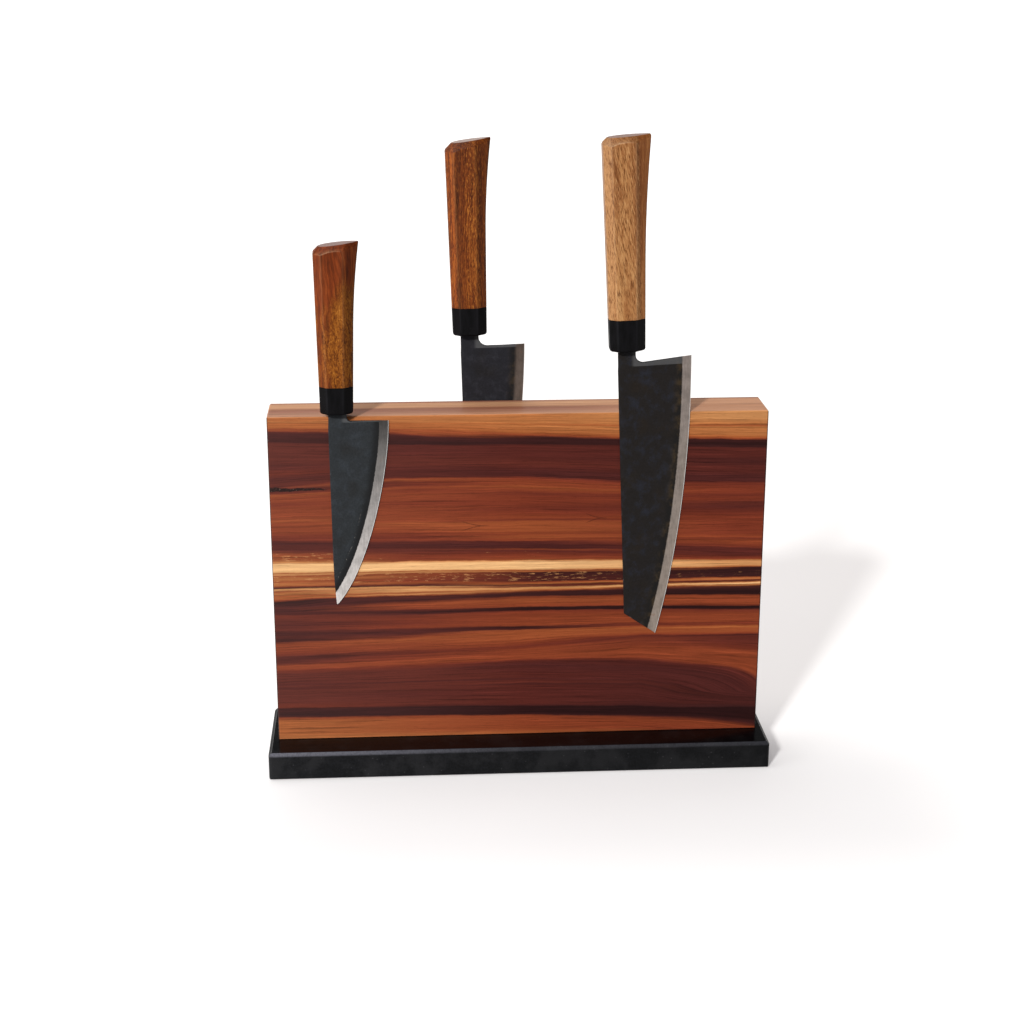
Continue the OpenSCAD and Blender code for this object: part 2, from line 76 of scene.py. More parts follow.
class Look:
    """A procedural material, with short calls for the nodes that are used here."""

    def __init__(self, name):
        self.mat = bpy.data.materials.new(name)
        self.mat.use_nodes = True
        self.tree = self.mat.node_tree
        self.tree.nodes.clear()
        self.out = self.tree.nodes.new("ShaderNodeOutputMaterial")
        self.bsdf = self.tree.nodes.new("ShaderNodeBsdfPrincipled")
        self.tree.links.new(self.bsdf.outputs[0], self.out.inputs[0])

    def put(self, socket, value):
        if isinstance(value, bpy.types.NodeSocket):
            self.tree.links.new(value, socket)
        else:
            socket.default_value = value

    def node(self, kind, values=(), **props):
        made = self.tree.nodes.new("ShaderNode" + kind)
        for key, value in props.items():
            setattr(made, key, value)
        for key, value in dict(values).items():
            self.put(made.inputs[key], value)
        return made

    def shade(self, **values):
        for key, value in values.items():
            self.put(self.bsdf.inputs[key.replace("_", " ").title().replace("Ior", "IOR")], value)

    def math(self, op, a, b=0.0, clamp=False):
        return self.node("Math", {0: a, 1: b}, operation=op, use_clamp=clamp).outputs[0]

    def add(self, a, b):
        return self.math("ADD", a, b)

    def sub(self, a, b):
        return self.math("SUBTRACT", a, b)

    def mul(self, a, b):
        return self.math("MULTIPLY", a, b)

    def divide(self, a, b):
        return self.math("DIVIDE", a, b)

    def absolute(self, value):
        return self.math("ABSOLUTE", value)

    def coords(self):
        """Object coordinates in millimetres."""
        place = self.node("TexCoord").outputs["Object"]
        return self.node("VectorMath", {0: place, "Scale": 1 / MM}, operation="SCALE").outputs[0]

    def split(self, vector):
        return self.node("SeparateXYZ", {0: vector}).outputs[:3]

    def join(self, x, y, z):
        return self.node("CombineXYZ", {0: x, 1: y, 2: z}).outputs[0]

    def times(self, a, b):
        """Two vectors, or two colours, multiplied part by part."""
        return self.node("VectorMath", {0: a, 1: b[:3]}, operation="MULTIPLY").outputs[0]

    def stretch(self, vector, x, y, z):
        return self.times(vector, (x, y, z))

    def noise(self, vector, scale=1.0, detail=2.0, rough=0.5, seed=0.0, twist=0.0):
        values = {"Vector": vector, "W": seed, "Scale": scale, "Detail": detail,
                  "Roughness": rough, "Distortion": twist}
        return self.node("TexNoise", values, noise_dimensions="4D").outputs["Fac"]

    def cells(self, vector, scale):
        """Distance to the nearest point of a scatter."""
        return self.node("TexVoronoi", {"Vector": vector, "Scale": scale}).outputs["Distance"]

    def span(self, value, a, b, c=0.0, d=1.0, smooth=True):
        """value from a..b to c..d, held at the ends."""
        kind = "SMOOTHSTEP" if smooth else "LINEAR"
        values = {0: value, 1: a, 2: b, 3: c, 4: d}
        return self.node("MapRange", values, interpolation_type=kind, clamp=True).outputs[0]

    def hump(self, value, centre, half, soft):
        """1 within half of centre, falling to 0 over soft."""
        away = self.absolute(self.sub(value, centre))
        return self.span(away, half, half + soft, 1.0, 0.0)

    def mix(self, share, a, b):
        made = self.node("Mix", {0: share, 6: a, 7: b}, data_type="RGBA")
        return made.outputs[2]

    def paint(self, colour, share, strength, tone):
        """tone laid over colour by share, at most at the given strength."""
        return self.mix(self.mul(share, strength), colour, tone)

    def scale_colour(self, colour, factor):
        if not isinstance(colour, bpy.types.NodeSocket):
            colour = colour[:3]
        return self.node("VectorMath", {0: colour, "Scale": factor}, operation="SCALE").outputs[0]

    def ramp(self, value, stops):
        """Colours along value, from (place, colour) pairs."""
        made = self.node("ValToRGB", {0: value})
        items = made.color_ramp.elements
        while len(items) < len(stops):
            items.new(0.5)
        for item, (place, colour) in zip(items, sorted(stops)):
            item.position = place
        for item, (place, colour) in zip(items, sorted(stops)):
            item.color = colour
        return made.outputs[0]

    def curve(self, value, points):
        made = self.node("FloatCurve", {1: value})
        line = made.mapping.curves[0]
        while len(line.points) < len(points):
            line.points.new(0.5, 0.5)
        for point, place in zip(line.points, sorted(points)):
            point.location = place
            point.handle_type = "VECTOR"
        made.mapping.update()
        return made.outputs[0]

    def bump(self, height, depth):
        """Relief of the given depth, in mm."""
        made = self.node("Bump", {"Height": height, "Distance": depth * MM, "Strength": 1.0})
        self.put(self.bsdf.inputs["Normal"], made.outputs[0])

    def attribute(self, name):
        """A float stored on the mesh's vertices."""
        return self.node("Attribute", attribute_name=name).outputs["Fac"]


# ---- the panel's wood ------------------------------------------------------------------------

WOOD_GAIN = 0.5
TOP_GAIN = 0.48
DARKEST = 0.002
TONES = {
    "cream": (244, 191, 133), "sand": (218, 156, 100), "straw": (200, 138, 86),
    "gold": (186, 115, 66), "honey": (170, 96, 52), "amber": (154, 78, 44),
    "copper": (138, 64, 38), "rust": (124, 54, 35), "russet": (110, 47, 33),
    "maroon": (97, 43, 34), "wine": (86, 37, 31), "plum": (76, 34, 31),
    "umber": (66, 29, 26), "ink": (57, 27, 26), "jet": (42, 19, 19),
}
GRAIN_X = (-168, -84, 0, 84, 168)
# Height of each grain line at the five stations of GRAIN_X, from the top of the panel down.
GRAIN_LINES = (
    (268, 268, 268, 268, 268), (252.5, 252.5, 252.5, 252.5, 252.5),
    (248.5, 247.5, 245.5, 243, 242), (243.5, 242, 236.8, 234, 232.3),
    (237.5, 235, 233, 231.5, 228.8), (234, 231, 230, 228, 225.5),
    (203, 208.7, 208.5, 203, 202), (185, 186, 186, 184, 184),
    (166.5, 165.5, 164.5, 163.5, 161.5), (163.3, 162.3, 160.5, 158, 154.5),
    (159.5, 157.5, 156.5, 153.5, 150), (149.8, 148.8, 148, 147.2, 146.3),
    (142.8, 143, 142.2, 141.3, 141.5), (130.2, 130.2, 129.5, 130, 131),
    (125.6, 126, 127.6, 128.4, 128.3), (120, 124, 125.2, 124.2, 122.8),
    (116, 118.2, 119.4, 118.9, 116.8), (113.6, 113.4, 113.4, 113.2, 110.9),
    (106, 106, 106, 105, 104), (100.5, 98.8, 99.3, 100.5, 100),
    (90.5, 92.2, 95.5, 96.8, 96), (81, 83.8, 85.3, 91.7, 90.8),
    (74.5, 76.4, 79, 83, 76), (69.5, 71.5, 73.5, 70, 48.5), (56, 56, 56, 54, 41),
    (43, 42.5, 41, 38.8, 36), (35.6, 34.6, 33.2, 30.5, 21.5), (20, 20, 20, 20, 18),
)
# Tones of the stripes, by height at the middle station: left, left of middle, middle, right.
# Rows close together are the crisp edges of a stripe.
STRIPES_TOP = (
    (268, "straw gold honey gold"), (256, "honey straw gold straw"), (252.5, "gold gold gold straw"),
    (249, "honey gold gold straw"), (246.2, "gold gold gold gold"), (245.3, "honey honey honey amber"),
    (244.4, "honey honey gold gold"), (240, "honey honey honey gold"),
    (238.6, "copper amber amber honey"), (237.7, "amber amber copper amber"),
    (236.8, "copper amber ink copper"), (236.1, "wine copper ink ink"), (235.3, "plum plum ink ink"),
    (233, "umber ink ink jet"), (231.4, "umber ink ink ink"), (230.6, "maroon wine wine wine"),
    (226, "maroon wine wine wine"), (222, "maroon maroon wine plum"), (218, "wine maroon maroon wine"),
    (215.5, "russet wine wine wine"), (213, "wine wine plum plum"), (209.6, "maroon wine plum plum"),
    (208.8, "wine rust russet wine"), (207.8, "maroon amber rust russet"),
    (206, "wine rust copper russet"), (203.5, "russet russet copper rust"),
)
STRIPES_UPPER = (
    (203.5, "russet russet copper rust"), (202, "amber copper amber rust"),
    (200, "copper rust copper rust"), (197.5, "copper copper russet russet"),
    (194, "rust copper rust rust"), (191, "copper rust rust maroon"), (187, "copper copper russet wine"),
    (183, "copper copper rust russet"), (179.5, "amber copper copper rust"),
    (178.5, "copper copper russet rust"), (177, "copper amber amber rust"),
    (171, "copper copper amber rust"), (168.5, "rust rust copper rust"),
    (166, "russet russet amber copper"), (165, "russet rust copper russet"),
    (163.8, "wine russet copper copper"), (163, "wine maroon wine copper"),
    (161.5, "plum wine plum rust"), (160.2, "wine plum plum wine"), (158, "wine wine plum wine"),
    (157.3, "wine maroon copper wine"), (156.2, "maroon maroon wine wine"),
    (153, "amber rust rust russet"), (150.5, "amber rust copper rust"),
    (149.4, "gold copper amber copper"), (148.4, "straw sand sand honey"),
    (147.6, "cream cream cream straw"), (145, "cream cream cream sand"),
    (143.3, "cream cream cream straw"), (142.6, "sand sand sand honey"),
    (141.9, "amber amber copper umber"),
)
STRIPES_LOWER = (
    (141.9, "amber amber copper umber"), (141.2, "sand straw honey ink"),
    (140.4, "amber copper umber jet"), (138, "gold copper umber ink"), (136, "amber rust wine ink"),
    (134.2, "gold copper umber ink"), (133.2, "honey amber copper amber"),
    (132.2, "russet wine honey gold"), (131.4, "umber wine umber amber"),
    (130.6, "straw sand russet wine"), (130, "sand gold maroon wine"), (129.3, "copper sand straw gold"),
    (128.6, "gold sand straw cream"), (127.9, "amber amber gold gold"),
    (127.2, "honey straw amber umber"), (126.4, "copper amber umber ink"), (125.7, "ink wine ink jet"),
    (123.6, "plum plum ink jet"), (122.4, "plum umber copper copper"),
    (119.8, "plum copper amber copper"), (116.5, "plum copper copper copper"),
    (115.4, "plum russet copper rust"), (114.6, "plum wine jet jet"), (112.8, "wine ink jet jet"),
    (111.8, "russet plum rust russet"), (108.5, "maroon rust copper copper"),
    (105, "wine russet copper copper"), (101.8, "maroon rust copper copper"),
    (100.6, "maroon wine jet rust"), (98.8, "plum plum umber rust"), (97.8, "wine maroon amber copper"),
    (96.6, "plum copper amber honey"),
)
STRIPES_BOTTOM = (
    (96.6, "plum copper amber honey"), (95.8, "copper amber amber amber"),
    (92, "copper copper amber amber"), (89, "rust copper copper copper"),
    (87.4, "russet copper rust russet"), (86.2, "maroon rust russet umber"),
    (84.8, "wine russet rust maroon"), (84, "wine russet copper maroon"),
    (81, "maroon rust copper russet"), (79.5, "copper copper copper copper"),
    (77, "copper copper copper copper"), (76, "rust rust rust copper"), (75, "russet russet wine wine"),
    (72, "maroon maroon plum plum"), (66, "maroon maroon wine plum"), (62.8, "wine maroon wine plum"),
    (62, "wine plum plum umber"), (61.2, "maroon maroon wine umber"), (59.2, "wine maroon maroon umber"),
    (58.3, "wine maroon umber umber"), (57, "maroon maroon wine umber"), (52, "maroon wine wine plum"),
    (47, "maroon maroon wine umber"), (43.5, "russet maroon wine ink"), (42.2, "russet wine plum ink"),
    (41.2, "umber ink jet jet"), (36, "ink ink jet jet"), (34.8, "umber ink ink ink"),
    (33.8, "copper copper copper umber"), (31.6, "honey amber copper copper"),
    (24, "honey amber copper rust"), (18, "gold gold honey plum"),
)
STRIPE_BLOCKS = (STRIPES_TOP, STRIPES_UPPER, STRIPES_LOWER, STRIPES_BOTTOM)
STRIPE_STATIONS = (-155, -70, 10, 150)
STRIPE_TOP = 270.0
STRIPE_BOTTOM = 18.0


def grain_height(m, x, z):
    """The height z carried along the grain lines to the middle station."""
    size = STRIPE_TOP - STRIPE_BOTTOM
    share = m.divide(m.sub(z, STRIPE_BOTTOM), size)
    total = None
    middle = len(GRAIN_X) // 2
    for i, station in enumerate(GRAIN_X):
        points = [
            ((line[i] - STRIPE_BOTTOM) / size, (line[middle] - STRIPE_BOTTOM) / size)
            for line in GRAIN_LINES
        ]
        line = m.curve(share, points)
        near = m.absolute(m.divide(m.sub(x, station), GRAIN_X[1] - GRAIN_X[0]))
        weight = m.math("SUBTRACT", 1.0, near, clamp=True)
        part = m.mul(line, weight)
        total = part if total is None else m.add(total, part)
    return m.add(m.mul(total, size), STRIPE_BOTTOM)


def stripe_column(m, v, column):
    """The stripes' colours down one station."""
    colour = None
    for rows in STRIPE_BLOCKS:
        high, low = rows[0][0], rows[-1][0]
        stops = [
            ((height - low) / (high - low), tint(*TONES[names.split()[column]], WOOD_GAIN))
            for height, names in rows
        ]
        block = m.ramp(m.divide(m.sub(v, low), high - low), stops)
        if colour is None:
            colour = block
        else:
            colour = m.mix(m.span(v, high - 0.01, high, 1.0, 0.0), colour, block)
    return colour


def streaks(m, flow, broad, pores, seed):
    """How far streaks, thin lines and pores along the grain lighten or darken the wood."""
    hair = m.noise(m.stretch(flow, 0.011, 0.4, 1.1), detail=3, rough=0.62, seed=seed + 13)
    calm = m.noise(m.stretch(flow, 0.012, 0.1, 0.06), detail=1, seed=seed + 29)
    silk = m.noise(m.stretch(flow, 0.035, 0.8, 2.2), detail=2, rough=0.6, seed=seed + 41)
    lines = m.mul(m.span(hair, 0.53, 0.64, 1.0, 0.6), m.span(hair, 0.34, 0.46, 1.3, 1.0))
    lines = m.mul(lines, m.span(silk, 0.32, 0.68, 0.8, 1.2, smooth=False))
    lines = m.add(1.0, m.mul(m.sub(lines, 1.0), m.span(calm, 0.35, 0.6, 0.5, 1.0)))
    shade = m.mul(m.span(broad, 0.3, 0.7, 0.78, 1.24, smooth=False), lines)
    return m.mul(shade, m.span(pores, 0.6, 0.72, 1.0, 0.72))


def panel_wood(name, flip, face_y, seed):
    """Striped hardwood. flip mirrors the pattern along X, and depth runs in from face_y."""
    m = Look(name)
    place = m.coords()
    x, y, z = m.split(place)
    x = m.mul(x, flip)
    depth = m.absolute(m.sub(y, face_y))
    along = m.join(x, depth, z)
    slow = m.noise(m.stretch(along, 0.011, 0.04, 0.05), detail=1, seed=seed)
    ragged = m.noise(m.stretch(along, 0.05, 0.12, 0.24), detail=4, rough=0.6, seed=seed + 3)
    height = m.add(m.add(z, m.mul(depth, 0.62)), m.mul(m.sub(slow, 0.5), 1.6))
    height = m.add(height, m.mul(m.sub(ragged, 0.5), 2.0))
    v = grain_height(m, x, height)
    flow = m.join(x, depth, v)
    broad = m.noise(m.stretch(flow, 0.006, 0.1, 0.3), detail=5, rough=0.66, seed=seed + 7)
    moved = m.add(x, m.mul(m.sub(broad, 0.5), 170.0))
    colour = stripe_column(m, v, 0)
    for column in range(1, len(STRIPE_STATIONS)):
        start, end = STRIPE_STATIONS[column - 1:column + 1]
        share = m.span(moved, start, end, smooth=False)
        colour = m.mix(share, colour, stripe_column(m, v, column))
    pores = m.noise(m.stretch(along, 0.2, 3.0, 3.2), detail=1, seed=seed + 17)
    shade = streaks(m, flow, broad, pores, seed)
    colour = m.scale_colour(colour, shade)
    colour = flecks(m, colour, x, v, depth, seed)
    colour = checks(m, colour, x, z, depth, seed)
    colour = panel_edges(m, colour, place, shade)
    # A painted sheen: the left half of the face is lightened a little, most at the left end.
    painted_sheen = m.span(x, PANEL_LEFT, 0, 0.0055, 0.0, smooth=False)
    colour = m.node("VectorMath", {0: colour, 1: m.join(painted_sheen, painted_sheen, painted_sheen)}, operation="ADD")
    colour = m.node("VectorMath", {0: colour.outputs[0], 1: (DARKEST, DARKEST, DARKEST)},
                    operation="MAXIMUM")
    gloss = m.span(broad, 0.3, 0.7, 0.46, 0.38)
    m.shade(base_color=colour.outputs[0], roughness=gloss, specular_ior_level=0.04)
    m.bump(m.add(m.mul(broad, 0.5), m.mul(pores, -0.5)), 0.05)
    return m.mat


def panel_edges(m, colour, place, shade):
    """The top, painted pale as a sheen over the boards' stripes, with its seam, and dark lines along the
    rounded upright edges.
    """
    x, y, z = m.split(place)
    wander = m.noise(m.stretch(place, 0.01, 0.3, 0.0), detail=2, seed=51)
    share = m.span(m.add(y, m.mul(m.sub(wander, 0.5), 9.0)), FRONT_Y, BACK_Y, smooth=False)
    # The top's colours hold the boards' stripes with a painted sheen laid into them, which makes the top
    # paler than the front face.
    top = m.ramp(share, shades(
        TOP_GAIN, (0.0, 196, 148, 120), (0.14, 186, 140, 116),
        (0.3, 168, 120, 100), (0.44, 156, 104, 84),
        (0.5, 178, 128, 102), (0.6, 206, 158, 124),
        (0.84, 212, 166, 132), (0.94, 160, 108, 88),
        (1.0, 140, 92, 78)))
    tan = m.mul(m.span(x, 20, 120), m.span(share, 0.9, 0.97, 0.85, 0.0))
    top = m.mix(tan, top, tint(206, 156, 124, TOP_GAIN))
    top = m.scale_colour(top, m.span(shade, 0.6, 1.4, 0.85, 1.15, smooth=False))
    fine = m.noise(m.stretch(place, 0.008, 0.5, 0.0), detail=4, rough=0.65, seed=57)
    top = m.scale_colour(top, m.span(fine, 0.32, 0.62, 0.78, 1.14, smooth=False))
    top = m.times(top, (1.03, 0.95, 0.86, 1))
    colour = m.mix(m.span(z, PANEL_TOP - 0.5, PANEL_TOP - 0.15), colour, top)
    seam = m.hump(y, SEAM_Y, 0.1, 0.25)
    colour = m.paint(colour, seam, 0.7, tint(62, 30, 22, WOOD_GAIN))
    # Dark lines along the rounded upright edges of the front face.
    side = m.span(m.absolute(x), PANEL_RIGHT - 0.9, PANEL_RIGHT - 0.3)
    round_off = m.mul(side, m.span(m.absolute(m.sub(y, FRONT_Y)), 1.5, 0.6))
    return m.paint(colour, round_off, 0.9, tint(46, 26, 22, WOOD_GAIN))


SPLIT_Z = 202.2
SPLIT_END = -128
CURLED_CHECKS = ((-24, 174.4, 17), (57, 178.6, 13))


def flecks(m, colour, x, v, depth, seed):
    """Pale flecks above and below the light stripe."""
    spots = m.noise(m.join(m.mul(x, 0.13), m.mul(depth, 0.5), m.mul(v, 1.15)), detail=4,
                    rough=0.68, seed=seed + 19)
    left = m.span(x, -128, -112, 1.0, 0.0)
    upper = m.mul(m.hump(v, 152, 2.6, 2.6), m.add(m.mul(left, 0.45), 0.55))
    upper = m.mul(upper, m.span(x, 20, 60, 1.0, 0.0))
    lower = m.mul(m.hump(v, 137.5, 2.8, 1.5), m.span(x, 35, 75, 1.0, 0.7))
    lower = m.mul(lower, m.span(v, 138, 142, 1.0, m.span(x, 90, 104, 1.0, 0.0)))
    clumps = m.noise(m.join(m.mul(x, 0.045), 0.0, m.mul(v, 0.15)), detail=2, seed=seed + 43)
    place = m.mul(m.math("MAXIMUM", upper, lower), m.span(clumps, 0.34, 0.5))
    on = m.span(m.mul(spots, m.span(place, 0, 1, 0.74, 1.0, smooth=False)), 0.54, 0.6)
    on = m.mul(on, m.span(place, 0.1, 0.4))
    return m.paint(colour, on, 0.55, tint(*TONES["sand"], WOOD_GAIN))


def checks(m, colour, x, z, depth, seed):
    """A rough dark split that runs in from the left end, and two small curled checks."""
    torn = m.noise(m.join(m.mul(x, 0.4), depth, m.mul(z, 1.2)), detail=4, rough=0.65,
                   seed=seed + 23)
    line = m.add(SPLIT_Z, m.mul(m.sub(m.noise(m.join(m.mul(x, 0.12), 0.0, 0.0)), 0.5), 3.0))
    off = m.absolute(m.sub(z, line))
    reach = m.span(x, PANEL_LEFT, SPLIT_END, 2.5, 1.5, smooth=False)
    split = m.span(m.sub(m.add(off, m.mul(torn, 2.2)), reach), -0.25, 0.35, 1.0, 0.0)
    split = m.mul(split, m.span(x, SPLIT_END - 6, SPLIT_END + 2, 1.0, 0.0))
    split = m.mul(split, m.span(depth, 0.5, 1.5, 1.0, 0.0))
    grit = m.noise(m.join(m.mul(x, 0.7), depth, m.mul(z, 1.8)), detail=2, seed=seed + 37)
    dust = m.mix(m.span(grit, 0.62, 0.68), tint(20, 11, 10, WOOD_GAIN), tint(136, 112, 100, WOOD_GAIN))
    colour = m.paint(colour, split, 0.9, dust)
    for cx, cz, length in CURLED_CHECKS:
        across = m.divide(m.sub(x, cx), length)
        bow = m.mul(m.math("POWER", m.absolute(across), 1.6), 4.0)
        gap = m.absolute(m.sub(m.absolute(m.sub(z, cz)), bow))
        curl = m.mul(m.span(gap, 0.15, 0.5, 1.0, 0.0), m.hump(across, -0.35, 0.3, 0.35))
        curl = m.mul(curl, m.span(torn, 0.35, 0.5))
        colour = m.paint(colour, curl, 0.55, tint(40, 16, 14, WOOD_GAIN))
    return colour


# ---- the base and the hidden hardware --------------------------------------------------------


BASE_LEFT, BASE_FRONT = -174.0, -41.0


def granite():
    """Near-black stone, polished on top and honed on its sides, with faint grey grains; painted lighter
    at its left end, fading to the right, and with a painted highlight along its top chamfer.
    """
    m = Look("dark_stone")
    place = m.coords()
    x, y, z = m.split(place)
    cloud = m.noise(place, 0.06, detail=4, rough=0.6)
    grain = m.noise(place, 0.9, detail=3, rough=0.7, seed=4)
    speck = m.cells(place, 0.3)
    few = m.noise(place, 0.08, detail=1, seed=9)
    # Painted light: the stone is lighter at its left end and darker towards the right.
    side = m.span(x, BASE_LEFT, -BASE_LEFT, 1.25, 0.62, smooth=False)
    colour = m.mix(m.span(grain, 0.35, 0.7), tint(10, 11, 12, 0.5), tint(25, 26, 29, 0.5))
    colour = m.mix(m.mul(m.span(cloud, 0.45, 0.65), 0.5), colour, tint(42, 42, 44, 0.5))
    colour = m.scale_colour(colour, side)
    dots = m.mul(m.span(speck, 0.05, 0.14, 1.0, 0.0), m.span(few, 0.42, 0.52))
    colour = m.paint(colour, dots, 0.5, tint(92, 92, 94, 0.5))
    front = m.sub(y, BASE_FRONT)
    # A painted highlight along the top chamfer, strongest at the left end.
    wear_and_highlight = m.mul(m.span(z, BASE_TOP - 2.8, BASE_TOP - 1.2), m.span(front, 2.4, 1.9))
    wear_and_highlight = m.mul(wear_and_highlight, m.mul(m.span(grain, 0.3, 0.6, 0.6, 1.0), m.span(x, BASE_LEFT, 20, 1.0, 0.2)))
    colour = m.paint(colour, wear_and_highlight, 0.9, tint(110, 110, 120, 0.5))
    flat = m.mul(m.span(z, BASE_TOP - 0.1, BASE_TOP - 0.02), m.span(front, 1.2, 2.0))
    colour = m.scale_colour(colour, m.sub(1.0, m.mul(flat, 0.5)))
    polished = m.span(z, BASE_TOP - 0.3, BASE_TOP - 0.1)
    rough = m.mix(polished, (0.5, 0.5, 0.5, 1), (0.16, 0.16, 0.16, 1))
    rough = m.add(rough, m.mul(m.sub(grain, 0.5), 0.1))
    m.shade(base_color=colour, roughness=rough, specular_ior_level=0.07)
    m.bump(grain, 0.02)
    return m.mat


def rubber():
    m = Look("rubber")
    place = m.coords()
    grain = m.noise(place, 2.0, detail=3)
    colour = m.mix(grain, tint(22, 22, 23), tint(40, 40, 41))
    m.shade(base_color=colour, roughness=m.span(grain, 0.3, 0.7, 0.75, 0.9))
    m.bump(grain, 0.04)
    return m.mat


def plain_metal(name, dark, light, roughness):
    """Turned or rolled metal with faint marks of the tool."""
    m = Look(name)
    place = m.coords()
    marks = m.noise(m.stretch(place, 0.4, 0.4, 6.0), detail=3)
    blot = m.noise(place, 0.3, detail=2, seed=2)
    colour = m.mix(m.mul(m.add(marks, blot), 0.5), tint(*dark), tint(*light))
    m.shade(base_color=colour, roughness=m.span(marks, 0.3, 0.7, roughness, roughness + 0.12))
    m.shade(metallic=1.0)
    m.bump(marks, 0.01)
    return m.mat


def beech():
    m = Look("beech")
    place = m.coords()
    fine = m.noise(m.stretch(place, 1.2, 1.2, 0.15), detail=3)
    dash = m.noise(m.stretch(place, 3.0, 3.0, 0.5), detail=1, seed=3)
    colour = m.mix(fine, tint(178, 132, 88, 0.6), tint(214, 174, 126, 0.6))
    colour = m.mix(m.mul(m.span(dash, 0.62, 0.7), 0.5), colour, tint(128, 84, 52, 0.6))
    m.shade(base_color=colour, roughness=m.span(fine, 0.3, 0.7, 0.5, 0.62))
    m.bump(dash, 0.03)
    return m.mat


# ---- handles and ferrules --------------------------------------------------------------------

GRIP_GAIN = 0.515


def swayed(m, place, rates, seed, reach):
    """The coordinates moved sideways by a slow noise, so that the fibres wander."""
    x, y, z = m.split(place)
    sway = m.noise(m.stretch(place, *rates), detail=1, seed=seed)
    return m.join(m.add(x, m.mul(m.sub(sway, 0.5), reach)), y, z)


def russet_handle():
    """Red-brown wood, with a golden curly patch low on the edge side."""
    m = Look("russet_wood")
    place = m.coords()
    x, _, z = m.split(place)
    bent = swayed(m, place, (0.05, 0.05, 0.03), 5, 16.0)
    broad = m.noise(m.stretch(bent, 0.16, 0.16, 0.02), detail=2, seed=1)
    streak = m.noise(m.stretch(bent, 0.9, 0.9, 0.07), detail=3, rough=0.6, seed=2)
    curl = m.noise(m.stretch(bent, 0.8, 0.8, 0.34), detail=3, rough=0.62, seed=8, twist=1.4)
    low = m.add(m.span(z, 104, 58), m.mul(m.span(x, -8, 4), 0.6))
    gold = m.span(m.add(low, m.mul(m.sub(broad, 0.5), 1.8)), 0.7, 1.3)
    red = m.ramp(m.add(m.mul(streak, 0.6), m.mul(broad, 0.4)), shades(
        GRIP_GAIN, (0.3, 68, 30, 12), (0.45, 108, 47, 18),
        (0.55, 138, 61, 23), (0.68, 164, 90, 38)))
    warm = m.ramp(m.add(m.mul(curl, 0.6), m.mul(streak, 0.4)), shades(
        GRIP_GAIN, (0.36, 62, 30, 10), (0.45, 118, 62, 18),
        (0.55, 156, 90, 28), (0.65, 196, 128, 50)))
    colour = m.mix(gold, red, warm)
    pores = m.noise(m.stretch(bent, 3.2, 3.2, 0.24), detail=1, seed=9)
    colour = m.scale_colour(colour, m.span(pores, 0.58, 0.7, 1.0, 0.72))
    # Painted shade: the edge-side facet is darkened.
    colour = m.scale_colour(colour, m.span(x, 7.5, 9.0, 1.0, 0.72))
    return finish_grip(m, colour, streak, pores, tint(146, 118, 110, GRIP_GAIN),
                       tint(196, 146, 104, GRIP_GAIN))


def dark_handle():
    """Brown wood with fine dark and golden streaks along the grip."""
    m = Look("dark_wood")
    place = m.coords()
    x = m.split(place)[0]
    bent = swayed(m, place, (0.02, 0.02, 0.014), 5, 9.0)
    broad = m.noise(m.stretch(bent, 0.22, 0.22, 0.012), detail=2, seed=21)
    streak = m.noise(m.stretch(bent, 1.1, 1.1, 0.035), detail=4, rough=0.65, seed=22)
    curl = m.noise(m.stretch(bent, 1.3, 1.3, 0.3), detail=2, seed=26, twist=0.8)
    bright = m.hump(x, 4.0, 2.6, 4.0)
    value = m.add(m.mul(streak, 0.62), m.mul(broad, 0.38))
    value = m.add(value, m.mul(m.sub(bright, 0.35), 0.07))
    value = m.add(value, m.mul(m.mul(m.sub(curl, 0.5), bright), 0.16))
    colour = m.ramp(value, shades(
        GRIP_GAIN, (0.34, 62, 29, 14), (0.44, 96, 45, 20),
        (0.52, 120, 58, 23), (0.6, 150, 80, 30),
        (0.72, 184, 112, 46)))
    dashes = m.noise(m.stretch(bent, 2.2, 2.2, 0.3), detail=2, rough=0.6, seed=28)
    glint = m.mul(m.span(dashes, 0.55, 0.64), m.span(bright, 0.0, 1.0, 0.25, 0.8))
    colour = m.mix(glint, colour, tint(196, 122, 50, GRIP_GAIN))
    colour = m.mix(m.span(dashes, 0.38, 0.47, 0.75, 0.0), colour, tint(58, 28, 14, GRIP_GAIN))
    pores = m.noise(m.stretch(bent, 3.4, 3.4, 0.16), detail=1, seed=29)
    # Painted light: the spine-side facets are painted much lighter, and the outer edge side a little
    # lighter.
    sides = m.add(m.span(x, -8.5, -7.0, 1.6, 0.97), m.span(x, 7.5, 9.5, 0.0, 0.3))
    colour = m.scale_colour(colour, m.mul(sides, m.span(pores, 0.56, 0.68, 1.0, 0.66)))
    return finish_grip(m, colour, streak, pores, tint(170, 148, 138, GRIP_GAIN),
                       tint(196, 140, 84, GRIP_GAIN))


